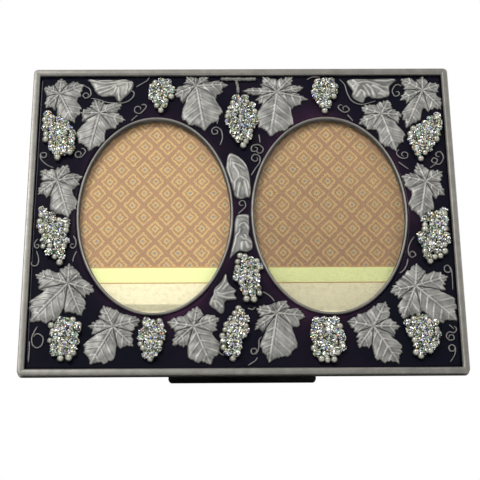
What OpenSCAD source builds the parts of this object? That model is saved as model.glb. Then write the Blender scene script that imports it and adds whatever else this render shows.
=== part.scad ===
// Double photo frame: a cast pewter face with two oval windows, set with grape leaves and
// jewelled grape clusters on dark enamel, over a velvet back that stands on a hinged easel leg.
// The frame stands leaning back, with the middle of its footprint at the origin,
// the shelf at z = 0 and its face toward -Y.

/* [Face] */
// Width of the cast face
face_w = 240; // [238:1:242]
// Height of the cast face, measured along its slope
face_h = 190; // [189:1:191]
// Radius of the outer corners
corner_r = 2.5; // [1.5:0.5:3]
// Width of the raised rail round the face
rail_w = 3.7; // [3.5:0.1:3.8]
// Bevel along the inner edge of the rail
rail_bevel = 0.8; // [0.4:0.1:1.2]
// Height of the rail above the enamel
rail_rise = 2.6; // [2:0.1:3.2]
// Thickness of the enamel fill
enamel_t = 0.4; // [0.3:0.1:0.8]
// Thickness of the casting's floor under the enamel
floor_t = 1.6; // [1.2:0.1:2.4]

/* [Windows] */
// Distance between the middles of the two oval windows
window_spacing = 97; // [96.5:0.1:97.5]
// Height of the windows' middles above the middle of the face
window_lift = 1.5; // [1:0.1:2]
// Width of each window's clear oval
window_w = 83.5; // [83:0.1:84]
// Height of each window's clear oval
window_h = 120; // [119.5:0.1:120.5]
// Width of the thin rim round each window
bezel_w = 2; // [1.6:0.1:2.1]
// Height of that rim above the enamel
bezel_rise = 1.6; // [1.2:0.1:2.4]

/* [Relief] */
// Length of the longest lobe of the largest grape leaf
leaf_reach = 30; // [29:0.5:30]
// Height of a leaf's edge above the enamel
leaf_rim_rise = 0.7; // [0.5:0.1:1]
// Height of a leaf half way out
leaf_shoulder_rise = 1.9; // [1.5:0.1:2.1]
// Height of a leaf's crown, where its veins meet
leaf_crown_rise = 2.4; // [2.2:0.1:2.8]
// Height of the veins above the leaf
vein_rise = 0.3; // [0.2:0.1:0.5]
// Radius of one grape
grape_r = 1.55; // [1.5:0.01:1.55]
// Distance between the grapes of one row
grape_pitch = 3.5; // [3.4:0.01:3.5]
// Distance between the rows of a cluster
grape_row_pitch = 3.15; // [3.12:0.01:3.15]
// Height above the enamel of the middles of the outermost grapes
grape_edge_rise = 1.6; // [1.6:0.05:1.8]
// Height above the enamel of the middles of the innermost grapes
grape_crown_rise = 2.5; // [2.2:0.1:2.6]
// Thickness of the plate that carries the grapes of a cluster
cluster_t = 1.2; // [1:0.1:1.3]
// How far that plate runs past the outermost grapes
cluster_margin = 0.1; // [0.05:0.01:0.15]
// Width of the vine tendrils
tendril_w = 1.1; // [0.9:0.1:1.2]
// Height of the tendrils above the enamel
tendril_rise = 0.9; // [0.7:0.1:1.2]
// Width of the woody twig over the middle cluster
twig_w = 2.2; // [1.8:0.1:2.3]
// Height of the twig above the enamel
twig_rise = 1.8; // [1.4:0.1:2.2]

/* [Back] */
// Distance from the casting's outer edge to the wall on its back
wall_inset = 3.5; // [3:0.1:4]
// Width of the wall round the back
wall_w = 5; // [4.6:0.1:6]
// Width of the glass panes
pane_w = 88.5; // [87:0.5:90]
// Height of the glass panes
pane_h = 126.5; // [125:0.5:128]
// Width of the ribs that hold the panes in place
rib_w = 1.6; // [1.2:0.1:2]
// Thickness of the glass
glass_t = 1.6; // [1.2:0.1:2]
// Thickness of the printed liner card
print_t = 0.4; // [0.2:0.1:0.6]
// Thickness of the filler board behind the card
filler_t = 1; // [0.8:0.1:1.4]
// Gap between a pane and its ribs
pane_clearance = 0.3; // [0.2:0.1:0.5]
// How much smaller the card and filler are than the pane, on each side
card_inset = 0.5; // [0.3:0.1:0.8]
// Thickness of the velvet covered back board
board_t = 3; // [2.5:0.1:3.5]
// Gap between the back board and the wall
board_clearance = 0.4; // [0.3:0.1:0.8]
// Corner radius of the back board
board_corner_r = 2; // [1:0.5:3]

/* [Turn buttons] */
// Distance of each turn button's screw from the middle of the frame
button_x = 60; // [56:1:80]
// Length of a button's tab, from its screw
button_reach = 9; // [8:0.5:12]
// Radius of the button's round end
button_r = 2.3; // [2.1:0.1:2.4]
// Thickness of the button
button_t = 0.8; // [0.6:0.1:1]
// Gap under the button
button_gap = 0.1; // [0.05:0.01:0.15]
// Radius of the button screw's shank
screw_r = 1; // [0.8:0.1:1.1]
// Radius of the button screw's head
screw_head_r = 1.9; // [1.7:0.1:2]
// Height of the button screw's head
screw_head_h = 1; // [0.8:0.1:1.2]
// Length of the screw's shank inside the casting
screw_bite = 4; // [3:0.1:4.2]
// Depth of the slot in the screw's head
screw_slot_depth = 0.5; // [0.3:0.1:0.6]
// Width of the slot in the screw's head
screw_slot_w = 0.6; // [0.4:0.1:0.8]
// Running clearance of a button on its screw
button_running = 0.06; // [0.04:0.01:0.1]
// Clearance round the screw in its bore
screw_fit = 0.02; // [0.01:0.01:0.04]

/* [Easel] */
// Angle at which the face leans back from upright
lean = 19; // [17:0.5:21]
// Angle at which the leg stands open from the back board
open_angle = 35; // [33:0.5:38]
// Height of the leg's hinge, measured up the back from the face's lower edge
hinge_height = 128; // [120:1:135]
// Thickness of the leg
leg_t = 3; // [2.5:0.1:3.5]
// Gap between the back board and the folded leg
leg_gap = 1; // [0.9:0.1:1.5]
// Width of the leg at its hinge
leg_top_w = 46; // [40:1:50]
// Width of the leg at its foot
leg_foot_w = 87; // [80:1:92]
// Radius of the leg's foot corners
leg_corner_r = 3; // [2:0.5:4]
// How much of the foot's lower edge is cut off level with the shelf
foot_cut = 0.4; // [0.3:0.1:0.5]
// Height of the padded block above the hinge
strut_h = 28; // [24:1:34]
// Distance from the hinge's axis to the leg and to the block
hinge_setback = 2.1; // [2:0.1:2.6]

/* [Hinge] */
// Width of the hinge
hinge_w = 30; // [26:1:36]
// Height of each hinge leaf, from the axis
hinge_leaf_h = 12; // [11:0.5:14]
// Thickness of the hinge leaves
hinge_leaf_t = 0.7; // [0.5:0.1:0.9]
// Outer radius of the knuckles
knuckle_r = 1.7; // [1.5:0.1:1.8]
// Gap between neighbouring knuckles
knuckle_gap = 0.2; // [0.1:0.05:0.4]
// Gap between a leaf's edge and the other leaf's knuckles
knuckle_room = 0.3; // [0.2:0.1:0.4]
// Radius of the hinge pin
pin_r = 0.8; // [0.6:0.1:1]
// Clearance of the pin in the fixed leaf
pin_fit = 0.03; // [0.02:0.01:0.04]
// Running clearance of the pin in the moving leaf
pin_running = 0.05; // [0.04:0.01:0.08]
// Sideways distance of the rivets from the middle of the hinge
rivet_x = 10; // [8:0.5:11]
// Distance of the rivets from the hinge's axis
rivet_reach = 8; // [7:0.5:9]
// Radius of the rivets' shanks
rivet_r = 0.9; // [0.7:0.1:1]
// Radius of the rivets' heads
rivet_head_r = 1.6; // [1.4:0.1:1.8]
// Height of the rivets' heads
rivet_head_h = 0.8; // [0.6:0.1:1]
// Length of the rivets' shanks inside the board
rivet_bite = 2.2; // [1.8:0.1:2.4]
// Clearance round the rivets
rivet_fit = 0.02; // [0.01:0.01:0.04]

/* [Stay ribbon] */
// Distance from the hinge to the ends of the ribbon
stay_drop = 88; // [70:1:92]
// Width of the ribbon
ribbon_w = 10; // [8:1:12]
// Thickness of the ribbon
ribbon_t = 0.5; // [0.3:0.1:0.6]
// Gap at each end of the drawn-out ribbon
ribbon_gap = 0.25; // [0.2:0.05:0.3]
// Length of the ribbon's glued tabs
tab_length = 8; // [6:1:12]
// Thickness of the glued tabs
tab_t = 0.4; // [0.3:0.1:0.4]
// Distance from a glued tab to the ribbon's end
tab_offset = 0.4; // [0.4:0.1:1]

/* [Hidden] */
$fn = 48;
overrun = 1;
oval_sides = 96;
grape_sides = 24;
corner_steps = 8;
tendril_steps = 3;
twig_steps = 2;

// The face that the relief's tables are drawn for: the enamel beside, over and under the windows'
// rims, half of what lies between the rims, the windows over their rims, and the rail
relief_side_room = 24.05;
relief_over_room = 27.8;
relief_under_room = 30.8;
relief_between_room = 4.75;
relief_window_w = 87.5;
relief_window_h = 124;
relief_rail_w = 3.7;

// Depths are measured square to the face, from the front of the rail backward.
enamel_d = rail_rise;
glass_d = rail_rise + enamel_t + floor_t;
print_d = glass_d + glass_t;
filler_d = print_d + print_t;
board_d = filler_d + filler_t;
back_d = board_d + board_t;
leg_d = back_d + leg_gap;
hinge_d = leg_d + leg_t;
axis_d = hinge_d + hinge_leaf_t / 2;
button_d = back_d + button_gap;
screw_head_d = button_d + button_t + button_gap / 2;

// Where the open leg meets the shelf
leg_lean = open_angle - lean;
shelf_lift = glass_d * sin(lean);
axis_y = axis_d * cos(lean) + hinge_height * sin(lean);
axis_z = hinge_height * cos(lean) - axis_d * sin(lean) + shelf_lift;
leg_front = leg_t + hinge_leaf_t / 2;
leg_reach = (axis_z + foot_cut - leg_front * sin(leg_lean)) / cos(leg_lean);
foot_back_y = axis_y + leg_reach * sin(leg_lean) - hinge_leaf_t / 2 * cos(leg_lean);

wall_outer_w = face_w - 2 * wall_inset;
wall_outer_h = face_h - 2 * wall_inset;
wall_inner_w = wall_outer_w - 2 * wall_w;
wall_inner_h = wall_outer_h - 2 * wall_w;
button_inset = wall_inset + wall_w / 2;
screw_room = screw_bite + screw_fit;

half_w = face_w / 2;
half_h = face_h / 2;
window_u = half_h + window_lift;
inner_half_w = half_w - rail_w;
inner_half_h = half_h - rail_w;
pane_opening_w = pane_w + 2 * pane_clearance;
pane_opening_h = pane_h + 2 * pane_clearance;

// How far the rims of the windows reach from the middle of the face
rim_near = window_spacing / 2 - window_w / 2 - bezel_w;
rim_far = window_spacing / 2 + window_w / 2 + bezel_w;
rim_top = window_h / 2 + bezel_w + window_lift;
rim_bottom = window_h / 2 + bezel_w - window_lift;

// The relief shrinks alike all over where any part of the face has less room than it is drawn for.
relief_fit = min(
    1,
    (inner_half_w - rim_far) / relief_side_room,
    rim_near / relief_between_room,
    (inner_half_h - rim_top) / relief_over_room,
    (inner_half_h - rim_bottom) / relief_under_room,
    (rim_far - rim_near) / relief_window_w,
    (rim_top + rim_bottom) / relief_window_h
);
drawn_half_w = relief_between_room + relief_window_w + relief_side_room + relief_rail_w;
drawn_half_h = (relief_under_room + relief_window_h + relief_over_room) / 2 + relief_rail_w;

// Where each edge that the relief is drawn between lies on this face
across_stops = [
    [0, 0],
    [relief_between_room, rim_near],
    [relief_between_room + relief_window_w, rim_far],
    [drawn_half_w - relief_rail_w, inner_half_w],
    [drawn_half_w, half_w]
];
up_stops = [
    [-drawn_half_h, -half_h],
    [relief_rail_w - drawn_half_h, -inner_half_h],
    [relief_rail_w + relief_under_room - drawn_half_h, -rim_bottom],
    [drawn_half_h - relief_rail_w - relief_over_room, rim_top],
    [drawn_half_h - relief_rail_w, inner_half_h],
    [drawn_half_h, half_h]
];

knuckle_count = 5;
knuckle_pitch = (hinge_w + knuckle_gap) / knuckle_count;

// The stay ribbon runs from the board to the leg, as [height, depth].
stay_start = [hinge_height - stay_drop, back_d];
stay_end = [
    hinge_height - stay_drop * cos(open_angle) - leg_front * sin(open_angle),
    axis_d + stay_drop * sin(open_angle) - leg_front * cos(open_angle)
];
stay_run = norm(stay_end - stay_start);
stay_slope = atan2(stay_end[0] - stay_start[0], stay_end[1] - stay_start[1]);

pewter = "#8f8d86";
old_pewter = "#6f6d68";
enamel_colour = "#241c2b";
velvet = "#17171a";
steel = "#a5a5a8";
frosted = "#c6c4b6";
mossy = "#a7a982";
golden = "#c2b68a";

// Places on the face are shares of half the drawn width and height, from the middle. They follow
// the rail and the windows' rims.
function across(x) = sign(x) * lookup(abs(x), across_stops);

function on_face(share) = [
    across(share[0] * drawn_half_w),
    lookup(share[1] * drawn_half_h, up_stops)
];

// Grape leaves: name, place of the leaf's heart, then for each lobe its direction in degrees,
// its length as a share of leaf_reach, and how far it spreads before and after its vein.
leaf_shares = [
    ["leaf_top_left_corner", [-.873, .832], [
        [25, .52, 28, 30], [86, .377, 28, 28], [153, .347, 32, 32], [229, .39, 32, 30],
        [296, .7, 34, 36]]],
    ["leaf_top_left_inner", [-.677, .694], [
        [26, .477, 20, 26], [108, .343, 34, 32], [176, .373, 32, 32], [258, .84, 40, 28],
        [344, .513, 30, 20]]],
    ["leaf_top_centre_left", [-.217, .886], [
        [3, .62, 18, 18], [41, .32, 17, 30], [131, .287, 34, 32], [206, .463, 32, 30],
        [280, 1.007, 38, 40]]],
    ["leaf_top_centre_right", [.173, .838], [
        [13, .543, 13, 16], [50, .473, 18, 28], [126, .453, 26, 22], [176, .66, 14, 12],
        [201, .457, 12, 14], [262, .98, 36, 40], [346, .613, 16, 12]]],
    ["leaf_top_right_corner", [.875, .849], [
        [21, .373, 28, 28], [87, .333, 26, 26], [147, .487, 26, 26], [205, .483, 24, 16],
        [247, .9, 22, 20], [309, .533, 30, 30]]],
    ["leaf_top_right_inner", [.67, .683], [
        [63, .367, 30, 32], [158, .417, 30, 22], [205, .49, 22, 26], [287, .84, 28, 34],
        [357, .407, 28, 28]]],
    ["leaf_left_side", [-.863, .234], [
        [11, .48, 22, 22], [62, .4, 24, 30], [146, .407, 28, 28], [218, .447, 30, 24],
        [287, .813, 34, 31]]],
    ["leaf_right_side", [.861, .218], [
        [34, .4, 28, 30], [108, .433, 28, 22], [165, .477, 22, 24], [260, .78, 34, 28],
        [321, .44, 26, 28]]],
    ["leaf_bottom_left_large", [-.792, -.436], [
        [90, .41, 30, 30], [163, .633, 28, 28], [229, 1, 28, 32], [292, .687, 26, 24],
        [343, .507, 24, 28]]],
    ["leaf_bottom_left", [-.583, -.707], [
        [16, .52, 26, 28], [114, .467, 32, 28], [177, .447, 26, 24], [242, .82, 36, 38],
        [315, .52, 26, 26]]],
    ["leaf_bottom_centre_left", [-.223, -.707], [
        [19, .5, 28, 28], [80, .413, 28, 30], [169, .48, 30, 26], [224, .52, 22, 22],
        [293, .8, 38, 40]]],
    ["leaf_bottom_centre_right", [.152, -.628], [
        [57, .32, 30, 28], [166, .387, 30, 24], [217, .507, 22, 18], [261, .96, 22, 48],
        [354, .513, 28, 28]]],
    ["leaf_bottom_right", [.583, -.712], [
        [0, .48, 28, 28], [63, .553, 28, 30], [167, .48, 30, 28], [235, .493, 26, 22],
        [301, .827, 36, 28]]],
    ["leaf_bottom_right_large", [.782, -.463], [
        [18, .64, 26, 28], [84, .473, 28, 28], [192, .473, 30, 26], [248, .69, 24, 28],
        [317, .987, 31, 30]]],
];

// Leaves folded over themselves: name, place of the heart, then the outline.
folded_leaf_shares = [
    ["leaf_top_left_folded", [-.558, .888], [
        [-.727, .916], [-.712, .883], [-.702, .852], [-.685, .827], [-.662, .816], [-.631, .819],
        [-.607, .814], [-.597, .788], [-.58, .776], [-.565, .804], [-.545, .827], [-.527, .859],
        [-.518, .887], [-.52, .918], [-.551, .936], [-.647, .935], [-.738, .938]]],
    ["leaf_top_right_folded", [.588, .886], [
        [.537, .853], [.532, .817], [.552, .785], [.585, .767], [.598, .794], [.613, .811],
        [.632, .798], [.667, .796], [.715, .817], [.718, .882], [.75, .935], [.622, .935],
        [.542, .936], [.511, .916]]],
    ["leaf_centre_upper", [-.005, .258], [
        [-.06, .415], [-.075, .321], [-.063, .263], [-.05, .206], [-.04, .154], [-.03, .122],
        [-.007, .109], [.022, .118], [.037, .12], [.042, .158], [.041, .211], [.036, .274],
        [.025, .331], [0, .379], [-.03, .411]]],
    ["leaf_centre_middle", [-.003, -.121], [
        [-.034, -.032], [-.037, -.084], [-.042, -.158], [-.052, -.227], [-.058, -.278],
        [-.02, -.234], [.018, -.238], [.043, -.219], [.048, -.181], [.04, -.152], [.03, -.128],
        [.035, -.086], [.033, -.042], [.032, .002], [.013, .011], [-.022, .004]]],
    ["leaf_centre_lower", [-.095, -.512], [
        [-.1, -.427], [-.13, -.469], [-.135, -.509], [-.148, -.533], [-.153, -.571],
        [-.125, -.602], [-.1, -.627], [-.087, -.615], [-.082, -.585], [-.083, -.558],
        [-.067, -.543], [-.027, -.535], [-.038, -.505], [-.028, -.482], [-.053, -.453],
        [-.068, -.421], [-.077, -.373]]],
];

// Grape clusters: name, middle of the top row, then for each row how many grapes it has and
// how far it is shifted, as a share of grape_pitch, and the colour of the stones.
grape_shares = [
    ["grapes_top_left", [-.385, .909], [
        [3, .06], [4, 0], [4, .06], [4, 0], [3, -.06], [2, -.06], [1, -.06]], frosted],
    ["grapes_top_centre", [0, .796], [
        [2, 0], [3, 0], [4, 0], [5, 0], [5, -.14], [5, 0], [4, 0], [4, 0], [3, .09], [2, .14],
        [1, .14]], mossy],
    ["grapes_top_right", [.403, .909], [
        [3, .03], [4, .03], [4, .03], [4, 0], [3, -.06], [2, -.11], [1, -.11]], frosted],
    ["grapes_right_upper", [.865, .674], [
        [1, 2.34], [2, 1.83], [3, 1.37], [5, .34], [5, .11], [5, 0], [4, -.23], [3, -.4],
        [2, -.57], [1, -.71]], mossy],
    ["grapes_left_upper", [-.865, .684], [
        [1, -2], [3, -1.29], [4, -.63], [5, -.23], [5, -.06], [5, 0], [4, .23], [4, .51], [3, .69],
        [1, -.06]], mossy],
    ["grapes_left_lower", [-.867, .032], [
        [1, -2.11], [3, -1.29], [5, -.26], [5, -.2], [5, -.09], [4, 0], [4, .17], [4, 0], [3, .49],
        [2, .86], [1, 1.03]], frosted],
    ["grapes_right_lower", [.875, .025], [
        [1, 2], [3, 1.14], [4, .54], [4, .46], [4, .43], [5, 0], [5, .06], [4, .29], [4, .17],
        [3, .06], [1, -.69]], frosted],
    ["grapes_centre", [.017, -.272], [
        [2, -.4], [4, .11], [4, .17], [4, .11], [4, 0], [3, .4], [3, .74], [3, .86], [2, .63]], golden],
    ["grapes_bottom_centre", [-.047, -.602], [
        [1, .8], [2, .91], [3, .86], [4, .63], [4, .4], [4, 0], [3, -.23], [3, -.34], [2, -.11],
        [1, .06]], golden],
    ["grapes_bottom_left_corner", [-.8, -.667], [
        [3, .34], [5, .11], [5, .11], [4, .23], [5, 0], [4, 0], [4, 0], [2, .29]], mossy],
    ["grapes_bottom_left", [-.411, -.676], [
        [3, .31], [3, .29], [4, .2], [4, .09], [4, 0], [3, -.14], [2, -.2], [1, -.14]], frosted],
    ["grapes_bottom_right", [.377, -.68], [
        [4, -.23], [5, -.11], [5, -.17], [5, -.06], [5, 0], [5, 0], [4, -.11], [3, -.06]], mossy],
    ["grapes_bottom_right_corner", [.81, -.667], [
        [3, -.8], [5, -.46], [5, -.29], [5, -.11], [4, 0], [3, -.11], [3, -.4], [1, -.86]], frosted],
];
// Curled tendrils, loose vine ends and short stems, each along its points
tendril_shares = [
    [[-.752, .893], [-.728, .869], [-.723, .827], [-.747, .806], [-.76, .827], [-.747, .844]],
    [[-.515, .821], [-.505, .859]],
    [[-.505, .886], [-.475, .912], [-.453, .931], [-.443, .954]],
    [[-.455, .743], [-.483, .699], [-.508, .709], [-.508, .737], [-.495, .747]],
    [[-.497, .684], [-.512, .665], [-.525, .646]],
    [[-.102, .476], [-.09, .526], [-.097, .579], [-.12, .6], [-.14, .583], [-.135, .554], [-.116, .556]],
    [[-.113, .646], [-.115, .621]],
    [[.083, .547], [.088, .491]],
    [[.097, .425], [.102, .453], [.078, .478], [.05, .467], [.048, .436], [.07, .434]],
    [[.045, .269], [.063, .312], [.086, .358], [.083, .4], [.06, .411], [.047, .383], [.062, .364]],
    [[.32, .935], [.348, .952], [.383, .952]],
    [[.478, .935], [.502, .895], [.513, .832], [.537, .777], [.583, .756], [.647, .781]],
    [[.467, .731], [.493, .701], [.518, .716], [.505, .743]],
    [[.508, .684], [.533, .64]],
    [[.747, .891], [.73, .853], [.74, .815], [.762, .823]],
    [[.735, .406], [.753, .383], [.78, .383], [.785, .413], [.767, .423]],
    [[.74, .356], [.762, .331], [.785, .307]],
    [[.887, .316], [.915, .343], [.923, .371], [.907, .381], [.897, .362]],
    [[.938, .345], [.953, .385], [.942, .423], [.92, .415]],
    [[-.885, .326], [-.913, .343], [-.945, .383], [-.947, .423], [-.923, .425], [-.923, .4]],
    [[-.738, .432], [-.755, .4], [-.778, .398], [-.785, .423], [-.768, .436]],
    [[-.018, .015], [.003, .04], [.017, .063], [.012, .093], [-.003, .099], [-.013, .082]],
    [[-.94, -.145], [-.952, -.168], [-.953, -.192], [-.943, -.206], [-.932, -.196]],
    [[-.943, -.223], [-.932, -.274], [-.935, -.312], [-.952, -.32]],
    [[-.778, -.126], [-.765, -.158], [-.765, -.189], [-.777, -.206], [-.79, -.196]],
    [[-.76, -.227], [-.772, -.263], [-.775, -.295]],
    [[.792, -.143], [.775, -.173], [.762, -.217], [.762, -.257], [.777, -.276], [.793, -.259],
        [.782, -.238]],
    [[.757, -.284], [.748, -.326], [.733, -.358], [.715, -.375]],
    [[.938, -.373], [.922, -.364], [.922, -.337], [.937, -.328], [.95, -.352], [.953, -.389],
        [.952, -.484]],
    [[-.922, -.699], [-.933, -.731], [-.943, -.768], [-.938, -.811], [-.917, -.829], [-.897, -.811],
        [-.893, -.768], [-.912, -.745]],
    [[-.953, -.789], [-.952, -.842], [-.953, -.916]],
    [[.09, -.488], [.115, -.509], [.132, -.531], [.142, -.549]],
    [[.022, -.592], [.042, -.6], [.055, -.585]],
    [[.082, -.768], [.07, -.789], [.068, -.832], [.058, -.867], [.038, -.872], [.035, -.846],
        [.052, -.84]],
    [[.062, -.895], [.05, -.916], [.02, -.941]],
    [[.923, -.701], [.943, -.726]],
    [[.953, -.737], [.942, -.749], [.92, -.745], [.907, -.768], [.918, -.794], [.94, -.789],
        [.938, -.766]],
    [[.92, -.859], [.915, -.836], [.93, -.823], [.943, -.842], [.938, -.884], [.917, -.926]],
    [[-.108, -.861], [-.1, -.872], [-.088, -.88]],
];

// The twig and its stub
twig_shares = [
    [[-.097, .937], [-.05, .937], [.017, .935], [.072, .937]],
    [[-.02, .92], [-.016, .884], [-.013, .838]],
];

// One half-spread lobe: how far round, and how far out, each point of its edge lies.
lobe_turn_shares = [-.97, -.8, -.62, -.5, -.3, -.18, 0, .18, .3, .5, .62, .8, .97];
lobe_reach_shares = [.46, .70, .69, .83, .84, .95, 1, .95, .84, .83, .69, .70, .46];
// Length of the notch between two lobes, as a share of their length, in which the shorter
// lobe counts for most
notch_share = .66;
shorter_lobe_share = .8;
// How much farther out than its notches a lobe begins
lobe_foot_share = 1.08;
// How far out the leaf's shoulder runs
shoulder_share = .55;

function polar(middle, angle, reach) = middle + reach * [cos(angle), sin(angle)];

function notch_angle(lobe, next) =
    (lobe[0] + lobe[3] + next[0] - next[2] + (next[0] < lobe[0] ? 360 : 0)) / 2;

// How far out the notch between two lobes lies
function notch_reach(a, b) =
    notch_share * leaf_reach * relief_fit
        * (shorter_lobe_share * min(a, b) + (1 - shorter_lobe_share) * max(a, b));

// The edge of a leaf, lobe by lobe. Each lobe's middle point ends a vein.
function leaf_edge(heart, lobes) = [
    for (k = [0:len(lobes) - 1])
        let (
            lobe = lobes[k],
            last = lobes[(k + len(lobes) - 1) % len(lobes)],
            next = lobes[(k + 1) % len(lobes)],
            reach = lobe[1] * leaf_reach * relief_fit,
            before = notch_reach(last[1], lobe[1]),
            after = notch_reach(lobe[1], next[1])
        )
        each concat(
            [for (i = [0:len(lobe_turn_shares) - 1])
                let (turn = lobe_turn_shares[i])
                polar(
                    heart,
                    lobe[0] + turn * (turn < 0 ? lobe[2] : lobe[3]),
                    max(reach * lobe_reach_shares[i], (turn < 0 ? before : after) * lobe_foot_share)
                )],
            [polar(heart, notch_angle(lobe, next), after)]
        )
];

points_per_lobe = len(lobe_turn_shares) + 1;
vein_index = (len(lobe_turn_shares) - 1) / 2;

// A smooth curve through all the points, in spans of equal steps
function curve_point(a, b, c, d, t) =
    (2 * b + t * (c - a) + t * t * (2 * a - 5 * b + 4 * c - d)
        + t * t * t * (3 * b - a - 3 * c + d)) / 2;

function curve(points, steps) = let (last = len(points) - 1) [
    for (i = [0:last - 1]) for (k = [0:steps - 1])
        curve_point(points[max(i - 1, 0)], points[i], points[i + 1], points[min(i + 2, last)], k / steps),
    points[last]
];

function level(points, height) = [for (p = points) [p[0], p[1], height]];

// Stands the frame up: drawn as it lies, with X across, Y up the face and Z out of the front.
module stand() {
    translate([0, -foot_back_y / 2, shelf_lift])
        rotate([90 - lean, 0, 0])
            children();
}

// A plate of a given thickness whose front lies at a depth
module slab(depth, thickness) {
    translate([0, 0, -depth - thickness])
        linear_extrude(thickness)
            children();
}

// A round peg or bore that starts at a depth and runs backward
module peg(depth, length, r) {
    translate([0, 0, -depth - length])
        cylinder(h = length, r = r);
}

// Turns what is drawn folded flat about the easel's hinge
module swing(angle) {
    translate([0, hinge_height, -axis_d])
        rotate([angle, 0, 0])
            translate([0, -hinge_height, axis_d])
                children();
}

module rectangle(w, h, y = half_h) {
    translate([0, y]) square([w, h], center = true);
}

module rounded_rectangle(w, h, r, y = half_h) {
    rectangle(w - 2 * r, h, y);
    rectangle(w, h - 2 * r, y);
    for (sx = [-1, 1], sy = [-1, 1])
        translate([sx * (w / 2 - r), y + sy * (h / 2 - r)]) circle(r);
}

module oval(w, h) {
    polygon([
        for (i = [0:oval_sides - 1])
            let (a = 360 * i / oval_sides)
            [w / 2 * cos(a), h / 2 * sin(a)]
    ]);
}

module at_window(side) {
    translate([side * window_spacing / 2, window_u]) children();
}

module both_windows() {
    for (side = [-1, 1]) at_window(side) children();
}

module at_button(side) {
    translate([side[0] * button_x, half_h + side[1] * (half_h - button_inset)])
        rotate([0, 0, side[1] > 0 ? 180 : 0])
            children();
}

module every_button() {
    for (sx = [-1, 1], sy = [-1, 1]) at_button([sx, sy]) children();
}

// Face

module rail_bevel_cut() {
    inner_w = face_w - 2 * rail_w;
    inner_h = face_h - 2 * rail_w;
    hull() {
        slab(-overrun, overrun) rectangle(inner_w + 2 * rail_bevel, inner_h + 2 * rail_bevel);
        slab(rail_bevel, overrun) rectangle(inner_w, inner_h);
    }
}

module face_plate() {
    difference() {
        slab(0, glass_d) rounded_rectangle(face_w, face_h, corner_r);
        slab(-overrun, overrun + enamel_d + enamel_t)
            rectangle(face_w - 2 * rail_w, face_h - 2 * rail_w);
        rail_bevel_cut();
    }
    both_windows()
        slab(enamel_d - bezel_rise, bezel_rise + enamel_t + floor_t / 2)
            oval(window_w + 2 * bezel_w, window_h + 2 * bezel_w);
}

module back_wall() {
    slab(glass_d, back_d - glass_d)
        difference() {
            rectangle(wall_outer_w, wall_outer_h);
            rectangle(wall_inner_w, wall_inner_h);
            both_windows() rectangle(pane_opening_w, pane_opening_h, 0);
        }
}

module pane_ribs() {
    slab(glass_d, board_d - glass_d)
        both_windows()
            difference() {
                rectangle(pane_opening_w + 2 * rib_w, pane_opening_h + 2 * rib_w, 0);
                rectangle(pane_opening_w, pane_opening_h, 0);
            }
}

module front_casting() {
    color(pewter) stand()
        difference() {
            union() {
                face_plate();
                back_wall();
                pane_ribs();
            }
            both_windows() slab(-overrun, glass_d + 2 * overrun) oval(window_w, window_h);
            every_button() peg(back_d - screw_room, screw_room + overrun, screw_r + screw_fit);
        }
}

module enamel_fill() {
    color(enamel_colour) stand()
        slab(enamel_d, enamel_t)
            difference() {
                rectangle(face_w - 2 * rail_w, face_h - 2 * rail_w);
                both_windows() oval(window_w + 2 * bezel_w, window_h + 2 * bezel_w);
            }
}

// Relief on the enamel

module on_enamel() {
    stand() translate([0, half_h, -enamel_d]) children();
}

// A domed leaf: a flat bottom, a steep edge, then a slope up to the heart.
module leaf_body(heart, edge, veins) {
    count = len(edge);
    shoulder = [for (p = edge) heart + shoulder_share * (p - heart)];
    vein_lift = [for (i = [0:count - 1]) veins[i] ? vein_rise : 0];
    points = concat(
        level(edge, 0),
        [for (i = [0:count - 1]) [edge[i][0], edge[i][1], leaf_rim_rise + vein_lift[i]]],
        [for (i = [0:count - 1]) [shoulder[i][0], shoulder[i][1], leaf_shoulder_rise + vein_lift[i]]],
        level([heart], 0),
        level([heart], leaf_crown_rise)
    );
    faces = [
        for (i = [0:count - 1]) let (j = (i + 1) % count)
            each [
                [3 * count, j, i],
                [i, j, count + i],
                [j, count + j, count + i],
                [count + i, count + j, 2 * count + i],
                [count + j, 2 * count + j, 2 * count + i],
                [2 * count + i, 2 * count + j, 3 * count + 1]
            ]
    ];
    polyhedron(points, [for (f = faces) [f[2], f[1], f[0]]]);
}

module grape_leaf(heart, lobes) {
    edge = leaf_edge(heart, lobes);
    leaf_body(heart, edge, [for (i = [0:len(edge) - 1]) i % points_per_lobe == vein_index]);
}

// A leaf folded over itself, drawn by its whole outline
module folded_leaf(heart, edge) {
    leaf_body(heart, edge, [for (p = edge) false]);
}

// Rows of grapes that dome up toward the middle, on a plate as wide as each row
module grape_cluster(top, rows) {
    widest = max([for (row = rows) row[0]]);
    r = grape_r * relief_fit;
    pitch = grape_pitch * relief_fit;
    row_pitch = grape_row_pitch * relief_fit;
    plate_ends = 2 * (r + cluster_margin * relief_fit);
    edge_rise = grape_edge_rise * relief_fit;
    crown = grape_crown_rise * relief_fit - edge_rise;
    for (k = [0:len(rows) - 1])
        let (count = rows[k][0], along = (k + 1) / (len(rows) + 1) * 2 - 1)
        translate([top[0] + rows[k][1] * pitch, top[1] - k * row_pitch]) {
            linear_extrude(cluster_t * relief_fit)
                square([(count - 1) * pitch + plate_ends, row_pitch], center = true);
            for (j = [0:count - 1])
                let (
                    from_middle = j - (count - 1) / 2,
                    dome = (1 - pow(2 * from_middle / widest, 2)) * (1 - pow(along, 4))
                )
                translate([from_middle * pitch, 0, edge_rise + crown * dome])
                    sphere(r = r, $fn = grape_sides);
        }
}

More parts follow.
